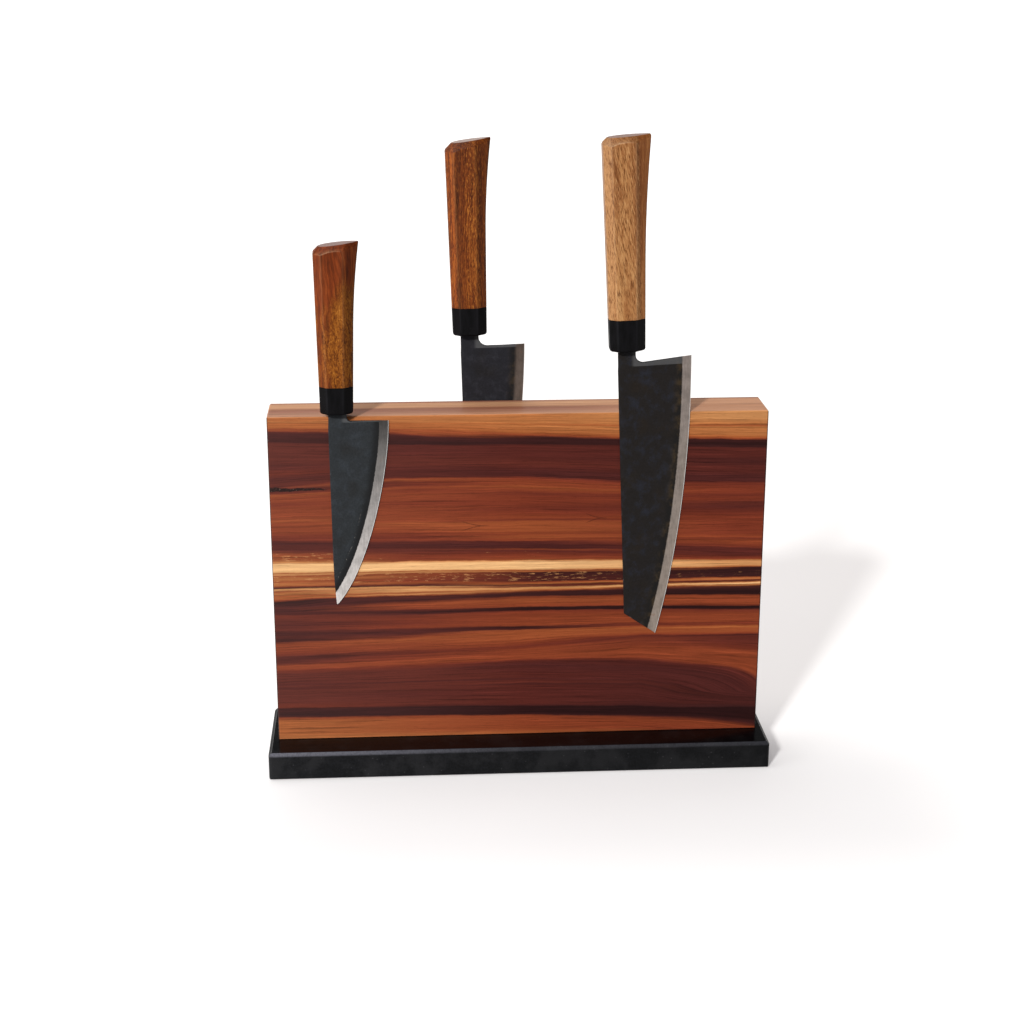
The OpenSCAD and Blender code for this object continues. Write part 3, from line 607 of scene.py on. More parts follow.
def tan_handle():
    """Pale tan wood with short dark pore flecks and one small knot on the edge side."""
    m = Look("tan_wood")
    place = m.coords()
    x, y, z = m.split(place)
    bent = swayed(m, place, (0.03, 0.03, 0.02), 35, 12.0)
    broad = m.noise(m.stretch(bent, 0.14, 0.14, 0.014), detail=2, seed=31)
    streak = m.noise(m.stretch(bent, 0.7, 0.7, 0.05), detail=3, rough=0.6, seed=32)
    value = m.add(m.mul(streak, 0.5), m.mul(broad, 0.5))
    value = m.add(value, m.span(z, 20, 130, 0.03, -0.05, smooth=False))
    colour = m.ramp(value, shades(
        GRIP_GAIN, (0.32, 132, 80, 42), (0.45, 162, 106, 62),
        (0.55, 183, 128, 78), (0.7, 212, 162, 108)))
    slant = m.join(m.add(x, m.mul(z, 0.16)), y, z)
    pores = m.noise(m.stretch(slant, 2.0, 2.0, 0.19), detail=3, rough=0.6, seed=39)
    front = m.span(x, 11, 8, 0.35, 1.0)
    # Painted light: the spine-side facet is painted paler.
    colour = m.mix(m.span(x, -9.5, -7.5, 0.4, 0.0), colour, tint(214, 164, 116, GRIP_GAIN))
    mark = m.mul(m.span(pores, 0.52, 0.58), front)
    colour = m.paint(colour, mark, 0.8, tint(104, 58, 28, GRIP_GAIN))
    colour = m.mix(m.mul(m.span(pores, 0.44, 0.36), m.mul(front, 0.6)), colour,
                   tint(222, 172, 116, GRIP_GAIN))
    knot = m.node("VectorMath", {0: place, 1: (12.6, -3.4, 45.0)}, operation="DISTANCE")
    ring = m.span(m.add(knot.outputs["Value"], m.mul(m.sub(streak, 0.5), 1.5)), 0.9, 2.2, 1.0, 0.0)
    colour = m.mix(ring, colour, tint(38, 22, 16, GRIP_GAIN))
    # Painted shade: the edge-side facet is painted darker and redder.
    colour = m.mix(m.span(x, 8.0, 9.5), colour, m.times(colour, (1.06, 0.9, 0.78, 1)))
    return finish_grip(m, colour, streak, pores, tint(148, 118, 106, GRIP_GAIN),
                       tint(230, 190, 150, GRIP_GAIN))


def finish_grip(m, colour, streak, pores, end_grain_sheen_tone, highlight_tone):
    """The hand-rubbed finish of a handle: its ridges paler as wear and a painted highlight, and its
    butt's end grain, painted pale as a sheen.
    """
    ridge = m.attribute("ridge")
    butt = m.attribute("butt")
    x, y, _ = m.split(m.coords())
    # Ridges painted paler, as wear and a painted highlight; the bevel's rim highlight comes from the
    # same values.
    rubbed = m.mul(m.mul(ridge, m.span(streak, 0.35, 0.6, 0.5, 1.0)), 0.6)
    colour = m.mix(rubbed, colour, highlight_tone)
    colour = m.scale_colour(colour, m.span(butt, 0.0, 0.2, 1.0, 0.72))
    # The butt's face is painted pale as a sheen, over rings of end grain.
    rings = m.noise(m.join(m.mul(x, 0.9), m.mul(y, 0.5), 0.0), detail=3, seed=41)
    grain = m.scale_colour(end_grain_sheen_tone, m.span(rings, 0.35, 0.65, 0.85, 1.12, smooth=False))
    colour = m.mix(m.span(butt, 0.4, 0.95), colour, grain)
    rough = m.span(streak, 0.3, 0.7, 0.34, 0.46)
    m.shade(base_color=colour, roughness=rough, specular_ior_level=0.07)
    m.bump(m.add(m.mul(streak, 0.5), m.mul(pores, -0.8)), 0.05)
    return m.mat


def horn():
    """Black horn: faint cloudy growth lines, a few pale spots near the foot as painted highlights, and
    ridges painted paler as wear and a highlight.
    """
    m = Look("black_horn")
    place = m.coords()
    z = m.split(place)[2]
    cloud = m.noise(m.stretch(place, 0.3, 0.3, 0.1), detail=3)
    line = m.noise(m.stretch(place, 1.6, 1.6, 0.12), detail=3, seed=3)
    colour = m.mix(m.span(m.add(m.mul(cloud, 0.6), m.mul(line, 0.4)), 0.35, 0.65),
                   tint(9, 9, 10, 0.4), tint(19, 18, 21, 0.4))
    # Painted highlights: a few pale spots near the foot.
    painted_glints = m.noise(m.stretch(place, 1.1, 1.1, 1.5), detail=4, rough=0.7, seed=6)
    on = m.mul(m.span(painted_glints, 0.62, 0.7), m.span(z, 1, 9, 1.0, 0.0))
    colour = m.paint(colour, on, 0.35, tint(120, 118, 120, 0.5))
    # Ridges painted paler, as wear and a painted highlight.
    ridge = m.attribute("ridge")
    colour = m.paint(colour, ridge, 0.12, tint(72, 72, 78, 0.5))
    m.shade(base_color=colour, roughness=m.span(cloud, 0.3, 0.7, 0.36, 0.5))
    m.shade(specular_ior_level=0.04)
    m.bump(line, 0.03)
    return m.mat


SPINE_CHAMFER = 5.0
EDGE_CHAMFER = 6.3
EDGE_CHAMFER_RISE = 0.8
FLARE_CHAMFER = 1.15
FERRULE_T = 18.6
BUTT_T = 20.6
BUTT_FACE_HALF_Y = 8.6
BUTT_BEVEL_SLOPE = 0.88
BUTT_FACE_POINT = 0.6
TANG_T = 3.0
RIDGE_ROUND = 0.9
BUTT_ROUND = 0.7
ARC_STEPS = 4


class Knife:
    """Sizes of one knife in its own frame, in mm: X spine to edge, Z up to the butt, Y off the flat.

    The blade: spine_x and heel_z are where it starts, heel is its width there, edge its length,
    rise how far the heel's corner stands up, neck_right the neck's side and notch_r the curve
    into it, pairs the edge's curve and spine_end the spine's lower corner, both as shares of
    heel and edge, and bulge how far the nose swells between that corner and the tip.
    The handle: ferrule and grip are heights, foot the width at the bottom, taper its growth,
    start and radius the flare towards the butt, slope the butt's slant, face where its flat
    face begins, and tip_round how round that face's point is."""

    def __init__(self, name, side, **sizes):
        self.name, self.side = name, side
        for key, value in sizes.items():
            setattr(self, key, value)

    def flare(self, z):
        return (z - self.start) ** 2 / (2 * self.radius) if z > self.start else 0.0

    def spine_half(self, z):
        return self.foot / 2 + self.taper * z

    def edge_half(self, z):
        return self.spine_half(z) + self.flare(z)

    def half_t(self, z):
        return (FERRULE_T + (BUTT_T - FERRULE_T) * z / self.grip) / 2

    def corners(self, z):
        a, b, t = self.spine_half(z), self.edge_half(z), self.half_t(z)
        c = EDGE_CHAMFER + FLARE_CHAMFER * self.flare(z)
        s, k = t - c * EDGE_CHAMFER_RISE, SPINE_CHAMFER
        return [Vector(p) for p in ((-a, k - t), (-a, t - k), (k - a, t), (b - c, t),
                                    (b, s), (b, -s), (b - c, -t), (k - a, -t))]

    def section(self, z):
        """The grip's eight-sided section with its ridges rounded."""
        corners = self.corners(z)
        points = []
        for i, corner in enumerate(corners):
            before, after = corners[i - 1], corners[(i + 1) % 8]
            a = corner + (before - corner).normalized() * RIDGE_ROUND
            b = corner + (after - corner).normalized() * RIDGE_ROUND
            points += [bend(a, corner, b, step / ARC_STEPS) for step in range(ARC_STEPS + 1)]
            points += [b.lerp(after + (corner - after).normalized() * RIDGE_ROUND, s)
                       for s in (0.33, 0.67)]
        return points

    def leaf(self, p):
        """The point of the butt's leaf-shaped face that lies opposite p."""
        reach = self.edge_half(self.grip)
        middle = (reach - self.spine_half(self.grip)) / 2
        turn = math.atan2(p.y / self.half_t(self.grip), (p.x - middle) / (reach - middle))
        radius = (reach - self.face) / 2
        narrow = abs(math.sin(turn / 2)) ** BUTT_FACE_POINT
        return Vector((reach - radius + radius * math.cos(turn),
                       BUTT_FACE_HALF_Y * math.sin(turn) * narrow))

    def butt_z(self, x):
        return self.grip + self.slope * x

    def blade_point(self, pair):
        return Vector((self.spine_x + pair[0] * self.heel, self.heel_z - pair[1] * self.edge))


def bend(a, b, c, t):
    """A quadratic curve from a to c, drawn towards b."""
    return a * (1 - t) ** 2 + b * 2 * t * (1 - t) + c * t * t


def cubic(p, t):
    return (p[0] * (1 - t) ** 3 + p[1] * 3 * t * (1 - t) ** 2 + p[2] * 3 * t * t * (1 - t)
            + p[3] * t ** 3)


SMALL = Knife(
    "small", 1, spine_x=-5.9, heel_z=-6, notch_r=2.8, neck_right=6.4,
    pairs=((1.01, 0.235), (0.68, 0.79), (0.085, 1)), spine_end=(0.03, 0.76), bulge=0.01,
    rise=0, edge=129.6, heel=39.9, ferrule=18.5, grip=112, foot=21.7, taper=0.0217,
    start=56, radius=520, slope=0.12, face=-10, tip_round=0.5)
MIDDLE = Knife(
    "middle", -1, spine_x=-6.5, heel_z=-9.1, notch_r=6, neck_right=5.9,
    pairs=((0.98, 0.25), (0.78, 0.79), (0.36, 1)), spine_end=(0.02, 0.74), bulge=0.16,
    rise=1.4, edge=165, heel=43.6, ferrule=19, grip=129.5, foot=22.9, taper=0.0145,
    start=67.6, radius=520, slope=0.119, face=-8.9, tip_round=0.5)
LARGE = Knife(
    "large", 1, spine_x=-6.3, heel_z=-10.6, notch_r=5.2, neck_right=5.6,
    pairs=((0.98, 0.3), (0.83, 0.65), (0.454, 0.982)), spine_end=(0.02, 0.9), bulge=0,
    rise=4.8, edge=195, heel=49.4, ferrule=21.4, grip=139.8, foot=23.6, taper=0.0155,
    start=57, radius=850, slope=0.05, face=-10.8, tip_round=2.2)
DOWEL_START = 3.1


def ring_centre(points):
    low = Vector([min(p[i] for p in points) for i in range(3)])
    high = Vector([max(p[i] for p in points) for i in range(3)])
    return (low + high) / 2


def knife_frame(knife):
    """The knife's own frame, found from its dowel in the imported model."""
    spots = [v.co.copy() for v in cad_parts[knife.name + "_dowel"].data.vertices]
    low, high = min(p.z for p in spots), max(p.z for p in spots)
    slack = 0.5 * MM
    foot = ring_centre([p for p in spots if p.z < low + slack])
    head = ring_centre([p for p in spots if p.z > high - slack])
    up = (head - foot).normalized()
    out = Vector((0, 1, 0))
    across = out.cross(up).normalized()
    middle = (knife.spine_x + knife.neck_right) / 2
    place = foot - across * middle * MM - up * DOWEL_START * MM
    place = place + out * knife.side * TANG_T / 2 * MM
    made = Matrix((across, out, up)).transposed().to_4x4()
    made.translation = place
    return made


def knife_piece(knife, part, bm, look, slot):
    """Turns a bmesh in the knife's frame, in mm, into the piece that replaces that CAD node."""
    bmesh.ops.remove_doubles(bm, verts=bm.verts, dist=0.004)
    bmesh.ops.scale(bm, vec=(MM, knife.side * MM, MM), verts=bm.verts)
    bmesh.ops.recalc_face_normals(bm, faces=bm.faces)
    for face in bm.faces:
        face.smooth = True
    name = knife.name + "_" + part
    mesh = bpy.data.meshes.new(name + "_shape")
    bm.to_mesh(mesh)
    bm.free()
    mesh.materials.append(look)
    made = bpy.data.objects.new(name + "_look", mesh)
    bpy.context.scene.collection.objects.link(made)
    made.matrix_world = knife_frame(knife)
    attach(made, knife.name + "_knife")
    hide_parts(name)
    even = made.modifiers.new("even", "WEIGHTED_NORMAL")
    even.keep_sharp = True
    return made


def skin(bm, rings, tip=None, wear_and_highlight=None, ends=None):
    """Faces between rings of the same length. The first ring is capped, and so is the last.

    The last two arguments, called with a ring and a point and with a ring, give the values that the
    materials read: how much a point is painted paler as wear and a highlight, and how far it lies on the
    butt."""
    ridge = bm.verts.layers.float.new("ridge")
    butt = bm.verts.layers.float.new("butt")
    rows = [[bm.verts.new(p) for p in ring] for ring in rings]
    count = len(rows[0])
    for r, row in enumerate(rows):
        for i, vert in enumerate(row):
            vert[ridge] = wear_and_highlight(r, i) if wear_and_highlight else 0.0
            vert[butt] = ends(r) if ends else 0.0
    for low, high in zip(rows, rows[1:]):
        for i in range(count):
            j = (i + 1) % count
            bm.faces.new((low[i], low[j], high[j], high[i]))
    bm.faces.new(rows[0])
    if tip is None:
        bm.faces.new(rows[-1])
    else:
        point = bm.verts.new(tip)
        point[butt] = 1.0
        for i in range(count):
            bm.faces.new((rows[-1][i], rows[-1][(i + 1) % count], point))


GRIP_RINGS = 14
JOINT_GROOVE = 0.25
TIP_REACH = 3.0
# The ridges are painted paler, as wear and a painted highlight; the rim of the butt's bevel gets a
# painted highlight on the side that faces the light.
RIDGE_WEAR_AND_HIGHLIGHT = 0.25
RIDGE_PROFILE = (0.2, 0.7, 1.0, 0.7, 0.2, 0.0, 0.0)
RIM_HIGHLIGHT_PROFILE = (0.6, 1.0, 0.4)
LIT_SIDE = Vector((-0.35, -0.937, 0))


def grip_wear_and_highlights(top, first):
    """The values of a grip's points for wear with painted highlights, and for where its butt is. Its
    butt starts at the ring called first.
    """

    def wear_and_highlight(r, i):
        """Ridges painted paler, as wear and a painted highlight, and a painted highlight on the rim of
        the bevel on the side that meets the light.
        """
        if r < first:
            return RIDGE_PROFILE[i % len(RIDGE_PROFILE)] * RIDGE_WEAR_AND_HIGHLIGHT
        facing = max(0.0, top[i].normalized().dot(LIT_SIDE)) ** 4
        return facing * RIM_HIGHLIGHT_PROFILE[r - first] if r - first < len(RIM_HIGHLIGHT_PROFILE) else 0.0

    def ends(r):
        return 0.0 if r <= first else max(0.2, min(1.0, (r - first - 4) / 2))

    return wear_and_highlight, ends


def handle(knife, look, slot):
    """The grip above the ferrule: eight facets, a bevel round the butt, and its leaf-shaped face."""
    mid_y = -TANG_T / 2

    def up(p, z):
        return Vector((p.x, p.y + mid_y, z))

    top = knife.section(knife.grip)
    leaves = [knife.leaf(p) for p in top]
    lengths = [(p - leaf).length for p, leaf in zip(top, leaves)]
    feet = [knife.butt_z(p.x) - length * BUTT_BEVEL_SLOPE for p, length in zip(top, lengths)]
    foot_points = [up(knife.section(z)[i], z) for i, z in enumerate(feet)]
    leaf_points = [up(leaf, knife.butt_z(leaf.x)) for leaf in leaves]
    shares = [max(0.0, 1 - length / TIP_REACH) for length in lengths]
    drops = [BUTT_ROUND + (knife.tip_round - BUTT_ROUND) * share for share in shares]
    drawn = [p * (1 - JOINT_GROOVE / p.length) for p in knife.section(knife.ferrule)]
    rings = [[up(p, knife.ferrule) for p in drawn]]
    start = knife.ferrule + JOINT_GROOVE
    for r in range(GRIP_RINGS + 1):
        ring = []
        for i, (foot, drop) in enumerate(zip(feet, drops)):
            z = start + (foot - drop - start) * r / GRIP_RINGS
            ring.append(up(knife.section(z)[i], z))
        rings.append(ring)
    centre = sum(leaf_points, Vector()) / len(leaf_points)
    runs = [butt_run(*row, centre) for row in
            zip(rings[-1], foot_points, leaf_points, shares, drops)]
    first = len(rings)
    rings += [[run[k] for run in runs] for k in range(len(runs[0]))]

    bm = bmesh.new()
    skin(bm, rings, centre, *grip_wear_and_highlights(top, first))
    return knife_piece(knife, "handle", bm, look, slot)


def butt_run(low, foot, leaf, share, drop, centre):
    """Points from the side of a grip over the bevel to the middle of the butt's face.

    share turns the bevel into one round corner, which is how the face ends at its point."""
    length = (leaf - foot).length
    near = min(BUTT_ROUND, 0.45 * length)
    way = (leaf - foot).normalized() if length > 0 else Vector((0, 0, 1))
    inward = (centre - leaf).normalized()
    a, b = foot + way * near, leaf - way * near * 0.6
    rim = leaf + inward * min(0.5, near)
    bevel = [bend(low, foot, a, s) for s in (0.33, 0.67, 1.0)] + [a.lerp(b, 0.5)]
    bevel += [bend(b, leaf, rim, s) for s in (0.0, 0.33, 0.67, 1.0)]
    corner = leaf + inward * drop
    curve = [bend(low, leaf, corner, (k + 1) / len(bevel)) for k in range(len(bevel))]
    run = [p.lerp(q, share) for p, q in zip(bevel, curve)]
    return run + [run[-1].lerp(centre, 0.5)]


FERRULE_ROUND = 1.8
FERRULE_STEPS = 6


def ferrule(knife, look):
    """The horn collar: the grip's own section with a rounded foot and a fine groove at its top."""
    mid_y = -TANG_T / 2

    def ring(z, inset):
        points = knife.section(z)
        a, t = knife.spine_half(z), knife.half_t(z)
        return [Vector((p.x * (1 - inset / a), p.y * (1 - inset / t) + mid_y, z)) for p in points]

    rings = []
    for i in range(FERRULE_STEPS + 1):
        turn = math.pi / 2 * i / FERRULE_STEPS
        z, inset = FERRULE_ROUND * (1 - math.cos(turn)), FERRULE_ROUND * (1 - math.sin(turn))
        rings.append(ring(z, inset))
    rings.append(ring(knife.ferrule / 2, 0))
    rings.append(ring(knife.ferrule - JOINT_GROOVE, 0))
    rings.append(ring(knife.ferrule, JOINT_GROOVE))

    # Ridges painted paler, as wear and a painted highlight: half as much on the rounded foot.
    def wear_and_highlight(r, i):
        share = RIDGE_PROFILE[i % len(RIDGE_PROFILE)]
        return share if r > FERRULE_STEPS else share / 2

    bm = bmesh.new()
    skin(bm, rings, wear_and_highlight=wear_and_highlight)
    return knife_piece(knife, "ferrule", bm, look, "black_horn")


# ---- blades ----------------------------------------------------------------------------------

SPINE_HEEL_T = 3.2
SPINE_TIP_T = 1.5
BAND_W = 6.3
BAND_T = 1.3
EDGE_T = 0.2
ARRIS = 0.35
GRID = 4.0
ROW_CLEARANCE = 0.4
RIM_CLEARANCE = 1.4
BAND_CLEARANCE = 1.6
NECK_RUN = 9
NECK_STEP = 0.2
NECK_END_Z = 2.9


def along(points, step):
    """The same polyline with its points about step apart."""
    out = []
    for a, b in zip(points, points[1:]):
        count = max(1, round((b - a).length / step))
        out += [a.lerp(b, i / count) for i in range(count)]
    return out + [points[-1]]


def gap_to(p, line):
    """Distance from p to a polyline."""
    best = 1e9
    for a, b in zip(line, line[1:]):
        side = b - a
        share = max(0.0, min(1.0, (p - a).dot(side) / side.length_squared))
        best = min(best, (p - a - side * share).length)
    return best


def edge_line(knife, steps=60):
    heel = Vector((knife.spine_x + knife.heel, knife.heel_z + knife.rise))
    curve = [heel] + [knife.blade_point(pair) for pair in knife.pairs]
    return [cubic(curve, i / steps) for i in range(steps + 1)]


def spine_line(knife):
    start = Vector((knife.spine_x, knife.heel_z - 4))
    corner = knife.blade_point(knife.spine_end)
    tip = knife.blade_point(knife.pairs[2]) + Vector((-0.5, 0.5))
    out = Vector((-knife.bulge * knife.heel, -knife.bulge * knife.heel / 2))
    nose = [corner, corner.lerp(tip, 0.33) + out, corner.lerp(tip, 0.67) + out, tip]
    return along([start, corner], 3.0)[:-1] + [cubic(nose, i / 16) for i in range(17)]


def heel_line(knife):
    """From the heel's corner along the heel's top and round the notch up into the ferrule."""
    r, right = knife.notch_r, knife.neck_right
    low = knife.heel_z + knife.rise * (right + r - knife.spine_x) / knife.heel
    corner = Vector((knife.spine_x + knife.heel, knife.heel_z + knife.rise))
    turns = [math.radians(270 - 90 * i / 10) for i in range(11)]
    arc = [Vector((right + r + r * math.cos(a), low + r + r * math.sin(a))) for a in turns]
    return along([corner, arc[0]], 2.0)[1:-1] + arc + [Vector((right, NECK_END_Z))]


def inside(p, loop):
    """True where p lies within the closed loop."""
    found = False
    for a, b in zip(loop, loop[1:] + loop[:1]):
        if (a.y > p.y) != (b.y > p.y) and p.x < a.x + (p.y - a.y) * (b.x - a.x) / (b.y - a.y):
            found = not found
    return found


def blade_sections(knife, p, cutting, spine):
    """Y of the blade's two sides at p."""
    away = gap_to(p, cutting)
    down = max(0.0, min(1.0, (knife.heel_z - p.y) / knife.edge))
    spine_t = SPINE_HEEL_T + (SPINE_TIP_T - SPINE_HEEL_T) * down
    band_t = min(BAND_T, spine_t * 0.8)
    if away < BAND_W:
        share = away / BAND_W
        lean = (band_t / 2 - EDGE_T / 2) * share
        return -(band_t / 2 + EDGE_T / 2 + lean), -(band_t / 2 - EDGE_T / 2 - lean)
    rest = away - BAND_W
    body = band_t + (spine_t - band_t) * rest / (rest + gap_to(p, spine) + 1e-6)
    low = knife.heel_z + knife.rise * (p.x - knife.spine_x) / knife.heel
    neck = max(low - p.y, p.x - knife.neck_right - knife.notch_r) / NECK_RUN
    neck = max(0.0, min(1.0, neck))
    neck = neck * neck * (3 - 2 * neck)
    return -(TANG_T + (body - TANG_T) * neck), 0.0


def blade_outline(knife):
    """The blade's outline, and the inset line where its eased arrises begin."""
    cutting, spine, heel = edge_line(knife), spine_line(knife), heel_line(knife)
    neck_x = knife.spine_x + NECK_STEP
    neck_left = [Vector((neck_x, NECK_END_Z)), Vector((neck_x, knife.heel_z))]
    back = along(neck_left, 2.0) + spine
    loop = back + cutting[::-1] + heel
    sharp = range(len(back) - 1, len(back) + len(cutting))
    inset = []
    for i, p in enumerate(loop):
        before, after = loop[i - 1], loop[(i + 1) % len(loop)]
        way = ((p - before).normalized() + (after - p).normalized()).normalized()
        share = 0.0 if i in sharp else 1.0
        inset.append(p + Vector((-way.y, way.x)) * ARRIS * share)
    return loop, inset


def blade_plan(inset, cutting):
    """Flat points and triangles that fill the inset line, with two lines that follow the band."""
    points = list(inset)
    rim = inset + inset[:1]
    edges = [(i, (i + 1) % len(inset)) for i in range(len(inset))]
    for off in (BAND_W - 0.25, BAND_W + 0.25, BAND_W / 2):
        row = []
        for i, p in enumerate(cutting):
            a, b = cutting[max(0, i - 1)], cutting[min(len(cutting) - 1, i + 1)]
            way = (b - a).normalized()
            q = p + Vector((way.y, -way.x)) * off
            if inside(q, inset) and gap_to(q, rim) > ROW_CLEARANCE:
                row.append(q)
        edges += [(len(points) + i, len(points) + i + 1) for i in range(len(row) - 1)]
        points += row
    low = Vector((min(p.x for p in inset), min(p.y for p in inset)))
    high = Vector((max(p.x for p in inset), max(p.y for p in inset)))
    for i in range(int((high.x - low.x) / GRID) + 1):
        for j in range(int((high.y - low.y) / GRID) + 1):
            q = low + Vector((i + 0.5 * (j % 2), j)) * GRID
            if inside(q, inset) and gap_to(q, rim) > RIM_CLEARANCE:
                if abs(gap_to(q, cutting) - BAND_W) > BAND_CLEARANCE:
                    points.append(q)
    made = delaunay_2d_cdt(points, edges, [list(range(len(inset)))], 1, 1e-4)
    return made[0], made[2], made[3]


def blade(knife, look):
    """The blade's two faces from its plan, joined round the outline by eased arrises."""
    cutting, spine = edge_line(knife), spine_line(knife)
    loop, inset = blade_outline(knife)
    flat, faces, origin = blade_plan(inset, cutting)
    bm = bmesh.new()
    reach = bm.verts.layers.float.new("edge_mm")
    back_off = bm.verts.layers.float.new("spine_mm")

    def vert(p, y):
        made = bm.verts.new((p.x, y, p.y))
        made[reach] = gap_to(p, cutting)
        made[back_off] = gap_to(p, spine)
        return made

    sides = [blade_sections(knife, p, cutting, spine) for p in flat]
    front = [vert(p, y[0]) for p, y in zip(flat, sides)]
    back = [vert(p, y[1]) for p, y in zip(flat, sides)]
    for face in faces:
        bm.faces.new([front[i] for i in face])
        bm.faces.new([back[i] for i in reversed(face)])
    which = {old: i for i, olds in enumerate(origin) for old in olds}
    rows = []
    for i, (p, q) in enumerate(zip(loop, inset)):
        near, far = blade_sections(knife, p, cutting, spine)
        ease = (p - q).length
        rows.append([front[which[i]], vert(p, near + ease * 0.8), vert(p, far - ease * 0.8),
                     back[which[i]]])
    for a, b in zip(rows, rows[1:] + rows[:1]):
        for k in range(3):
            quad = (a[k], a[k + 1], b[k + 1], b[k])
            if len(set(quad)) == 4:
                bm.faces.new(quad)
    return knife_piece(knife, "blade", bm, look, "forged_blade")


BLADE_GAIN = 0.52
STEEL_GAIN = 0.8
SEAM_BELOW_HEEL = (50, 80)


def forge_scale(m, place, patch, grain, tones):
    """The black skin of the forging: its body colour, with bluish and brownish patches."""
    body, blue, brown = (tint(*tone, BLADE_GAIN) for tone in tones)
    cloud = m.noise(place, 0.06, detail=3, seed=1)
    colour = m.mix(m.span(patch, 0.46, 0.68), body, blue)
    colour = m.mix(m.mul(m.span(cloud, 0.5, 0.7), 0.6), colour, brown)
    return m.scale_colour(colour, m.span(grain, 0.3, 0.7, 0.72, 1.3, smooth=False))


def scale_marks(m, colour, knife, place, patch, jag, past, seam_share, stain_share):
    """The dark line beside the band, its scratched seam, wear along the spine, stains and the heel;
    faces that turn upwards are painted darker as shade.
    """
    x, _, z = m.split(place)
    dark_w = m.add(2.4, m.mul(m.noise(m.stretch(place, 0.1, 0.1, 0.05), detail=3, seed=5), 3.4))
    dark = m.span(m.sub(past, dark_w), -3.0, 2.2, 1.0, 0.0)
    colour = m.paint(colour, dark, 0.75, tint(24, 23, 23, BLADE_GAIN))
    seam = m.mul(m.hump(m.sub(past, m.mul(dark_w, 0.9)), 0.0, 0.05, 0.3), m.span(jag, 0.5, 0.65))
    start, full = (knife.heel_z - drop for drop in SEAM_BELOW_HEEL)
    seam = m.mul(seam, m.mul(m.span(z, start, full), seam_share))
    colour = m.paint(colour, seam, 0.7, tint(136, 130, 124, BLADE_GAIN))
    chips = m.noise(m.stretch(place, 0.4, 0.4, 0.16), detail=4, rough=0.65, seed=7)
    wear_and_highlight = m.mul(m.span(m.attribute("spine_mm"), 0.1, 0.7, 1.0, 0.0), m.span(chips, 0.55, 0.68))
    colour = m.paint(colour, wear_and_highlight, 0.55, tint(112, 110, 110, BLADE_GAIN))
    stain = m.mul(m.hump(past, 1.0, 0.5, 5.0), m.span(patch, 0.44, 0.66))
    colour = m.paint(colour, stain, stain_share, tint(78, 62, 38, BLADE_GAIN))
    heel = m.mul(m.span(z, knife.heel_z - 0.9, knife.heel_z - 0.3), m.span(x, 2, 5))
    colour = m.paint(colour, heel, 0.35, tint(120, 120, 122, BLADE_GAIN))
    # Painted shade: faces that turn upwards, such as the heel's top, are darkened.
    up = m.split(m.node("NewGeometry").outputs["Normal"])[2]
    return m.scale_colour(colour, m.span(up, 0.4, 0.85, 1.0, 0.42))


def ground_steel(m, knife, z, patch, reach, brushed, heel_tone, tip_tone):
    """The band ground along the edge: brushed, painted brighter to the tip as a reflection, and
    brightest at the edge as a painted highlight.
    """
    # Painted reflection: the band's colour runs from darker at the heel to brighter at the tip.
    down = m.span(z, knife.heel_z, knife.heel_z - knife.edge, 0.0, 1.0, smooth=False)
    steel = m.mix(down, heel_tone, tip_tone)
    steel = m.scale_colour(steel, m.span(brushed, 0.3, 0.7, 0.8, 1.18, smooth=False))
    steel = m.scale_colour(steel, m.span(patch, 0.36, 0.6, 0.84, 1.08))
    steel = m.mix(m.mul(m.span(patch, 0.6, 0.72), 0.35), steel, tint(120, 84, 62, STEEL_GAIN))
    # A painted highlight along the edge itself.
    edge_highlight = m.span(reach, 0.1, 0.5, 1.0, 0.0)
    return m.paint(steel, edge_highlight, 0.5, (0.8, 0.79, 0.78, 1))


def forged(knife, tones, heel_tone, tip_tone, seam_share, stain_share, soft):
    """Black forge scale over the body, and a bright ground band along the edge."""
    m = Look(knife.name + "_steel")
    place = m.coords()
    reach = m.attribute("edge_mm")
    patch = m.noise(m.stretch(place, 0.16, 0.16, 0.14), detail=5, rough=0.66, seed=2)
    grain = m.noise(place, 0.9, detail=4, rough=0.7, seed=3)
    jag = m.noise(m.stretch(place, 1.5, 1.5, 0.6), detail=3, seed=6)
    brushed = m.noise(m.stretch(place, 2.6, 2.6, 0.12), detail=3, rough=0.6, seed=8)
    past = m.sub(reach, m.add(BAND_W, m.mul(m.sub(jag, 0.5), 0.9)))
    colour = forge_scale(m, place, patch, grain, tones)
    colour = scale_marks(m, colour, knife, place, patch, jag, past, seam_share, stain_share)
    z = m.split(place)[2]
    steel = ground_steel(m, knife, z, patch, reach, brushed, heel_tone, tip_tone)
    ground = m.span(past, -soft, soft * 0.6, 1.0, 0.0)
    rough = m.add(m.span(grain, 0.3, 0.7, 0.5, 0.68), m.mul(ground, -0.2))
    m.shade(base_color=m.mix(ground, colour, steel), roughness=rough, specular_ior_level=0.06)
    m.shade(metallic=m.mul(ground, 0.5))
    height = m.mul(m.add(grain, m.mul(patch, 2.0)), m.sub(1.0, ground))
    m.bump(m.add(height, m.mul(brushed, 0.1)), 0.06)
    return m.mat


# ---- stage -----------------------------------------------------------------------------------


CAMERA_AT = (-80.18, -1235.08, 572.83)
CAMERA_TURN = 3.531
CAMERA_TILT = 17.671
CAMERA_ROLL = 0.071
CAMERA_LENS = 66.49
KEY_TURN = 26.8
KEY_TILT = 28.5
KEY_WIDTH = 6
KEY_POWER = 5.4
# The room's light by the height of its direction: full up to the band, then fading out.
ROOM_BAND = (0.2, 0.36)
ROOM_OVERHEAD = 0.13
ROOM_BELOW = 0.22
FLOOR_REACH = 30.0


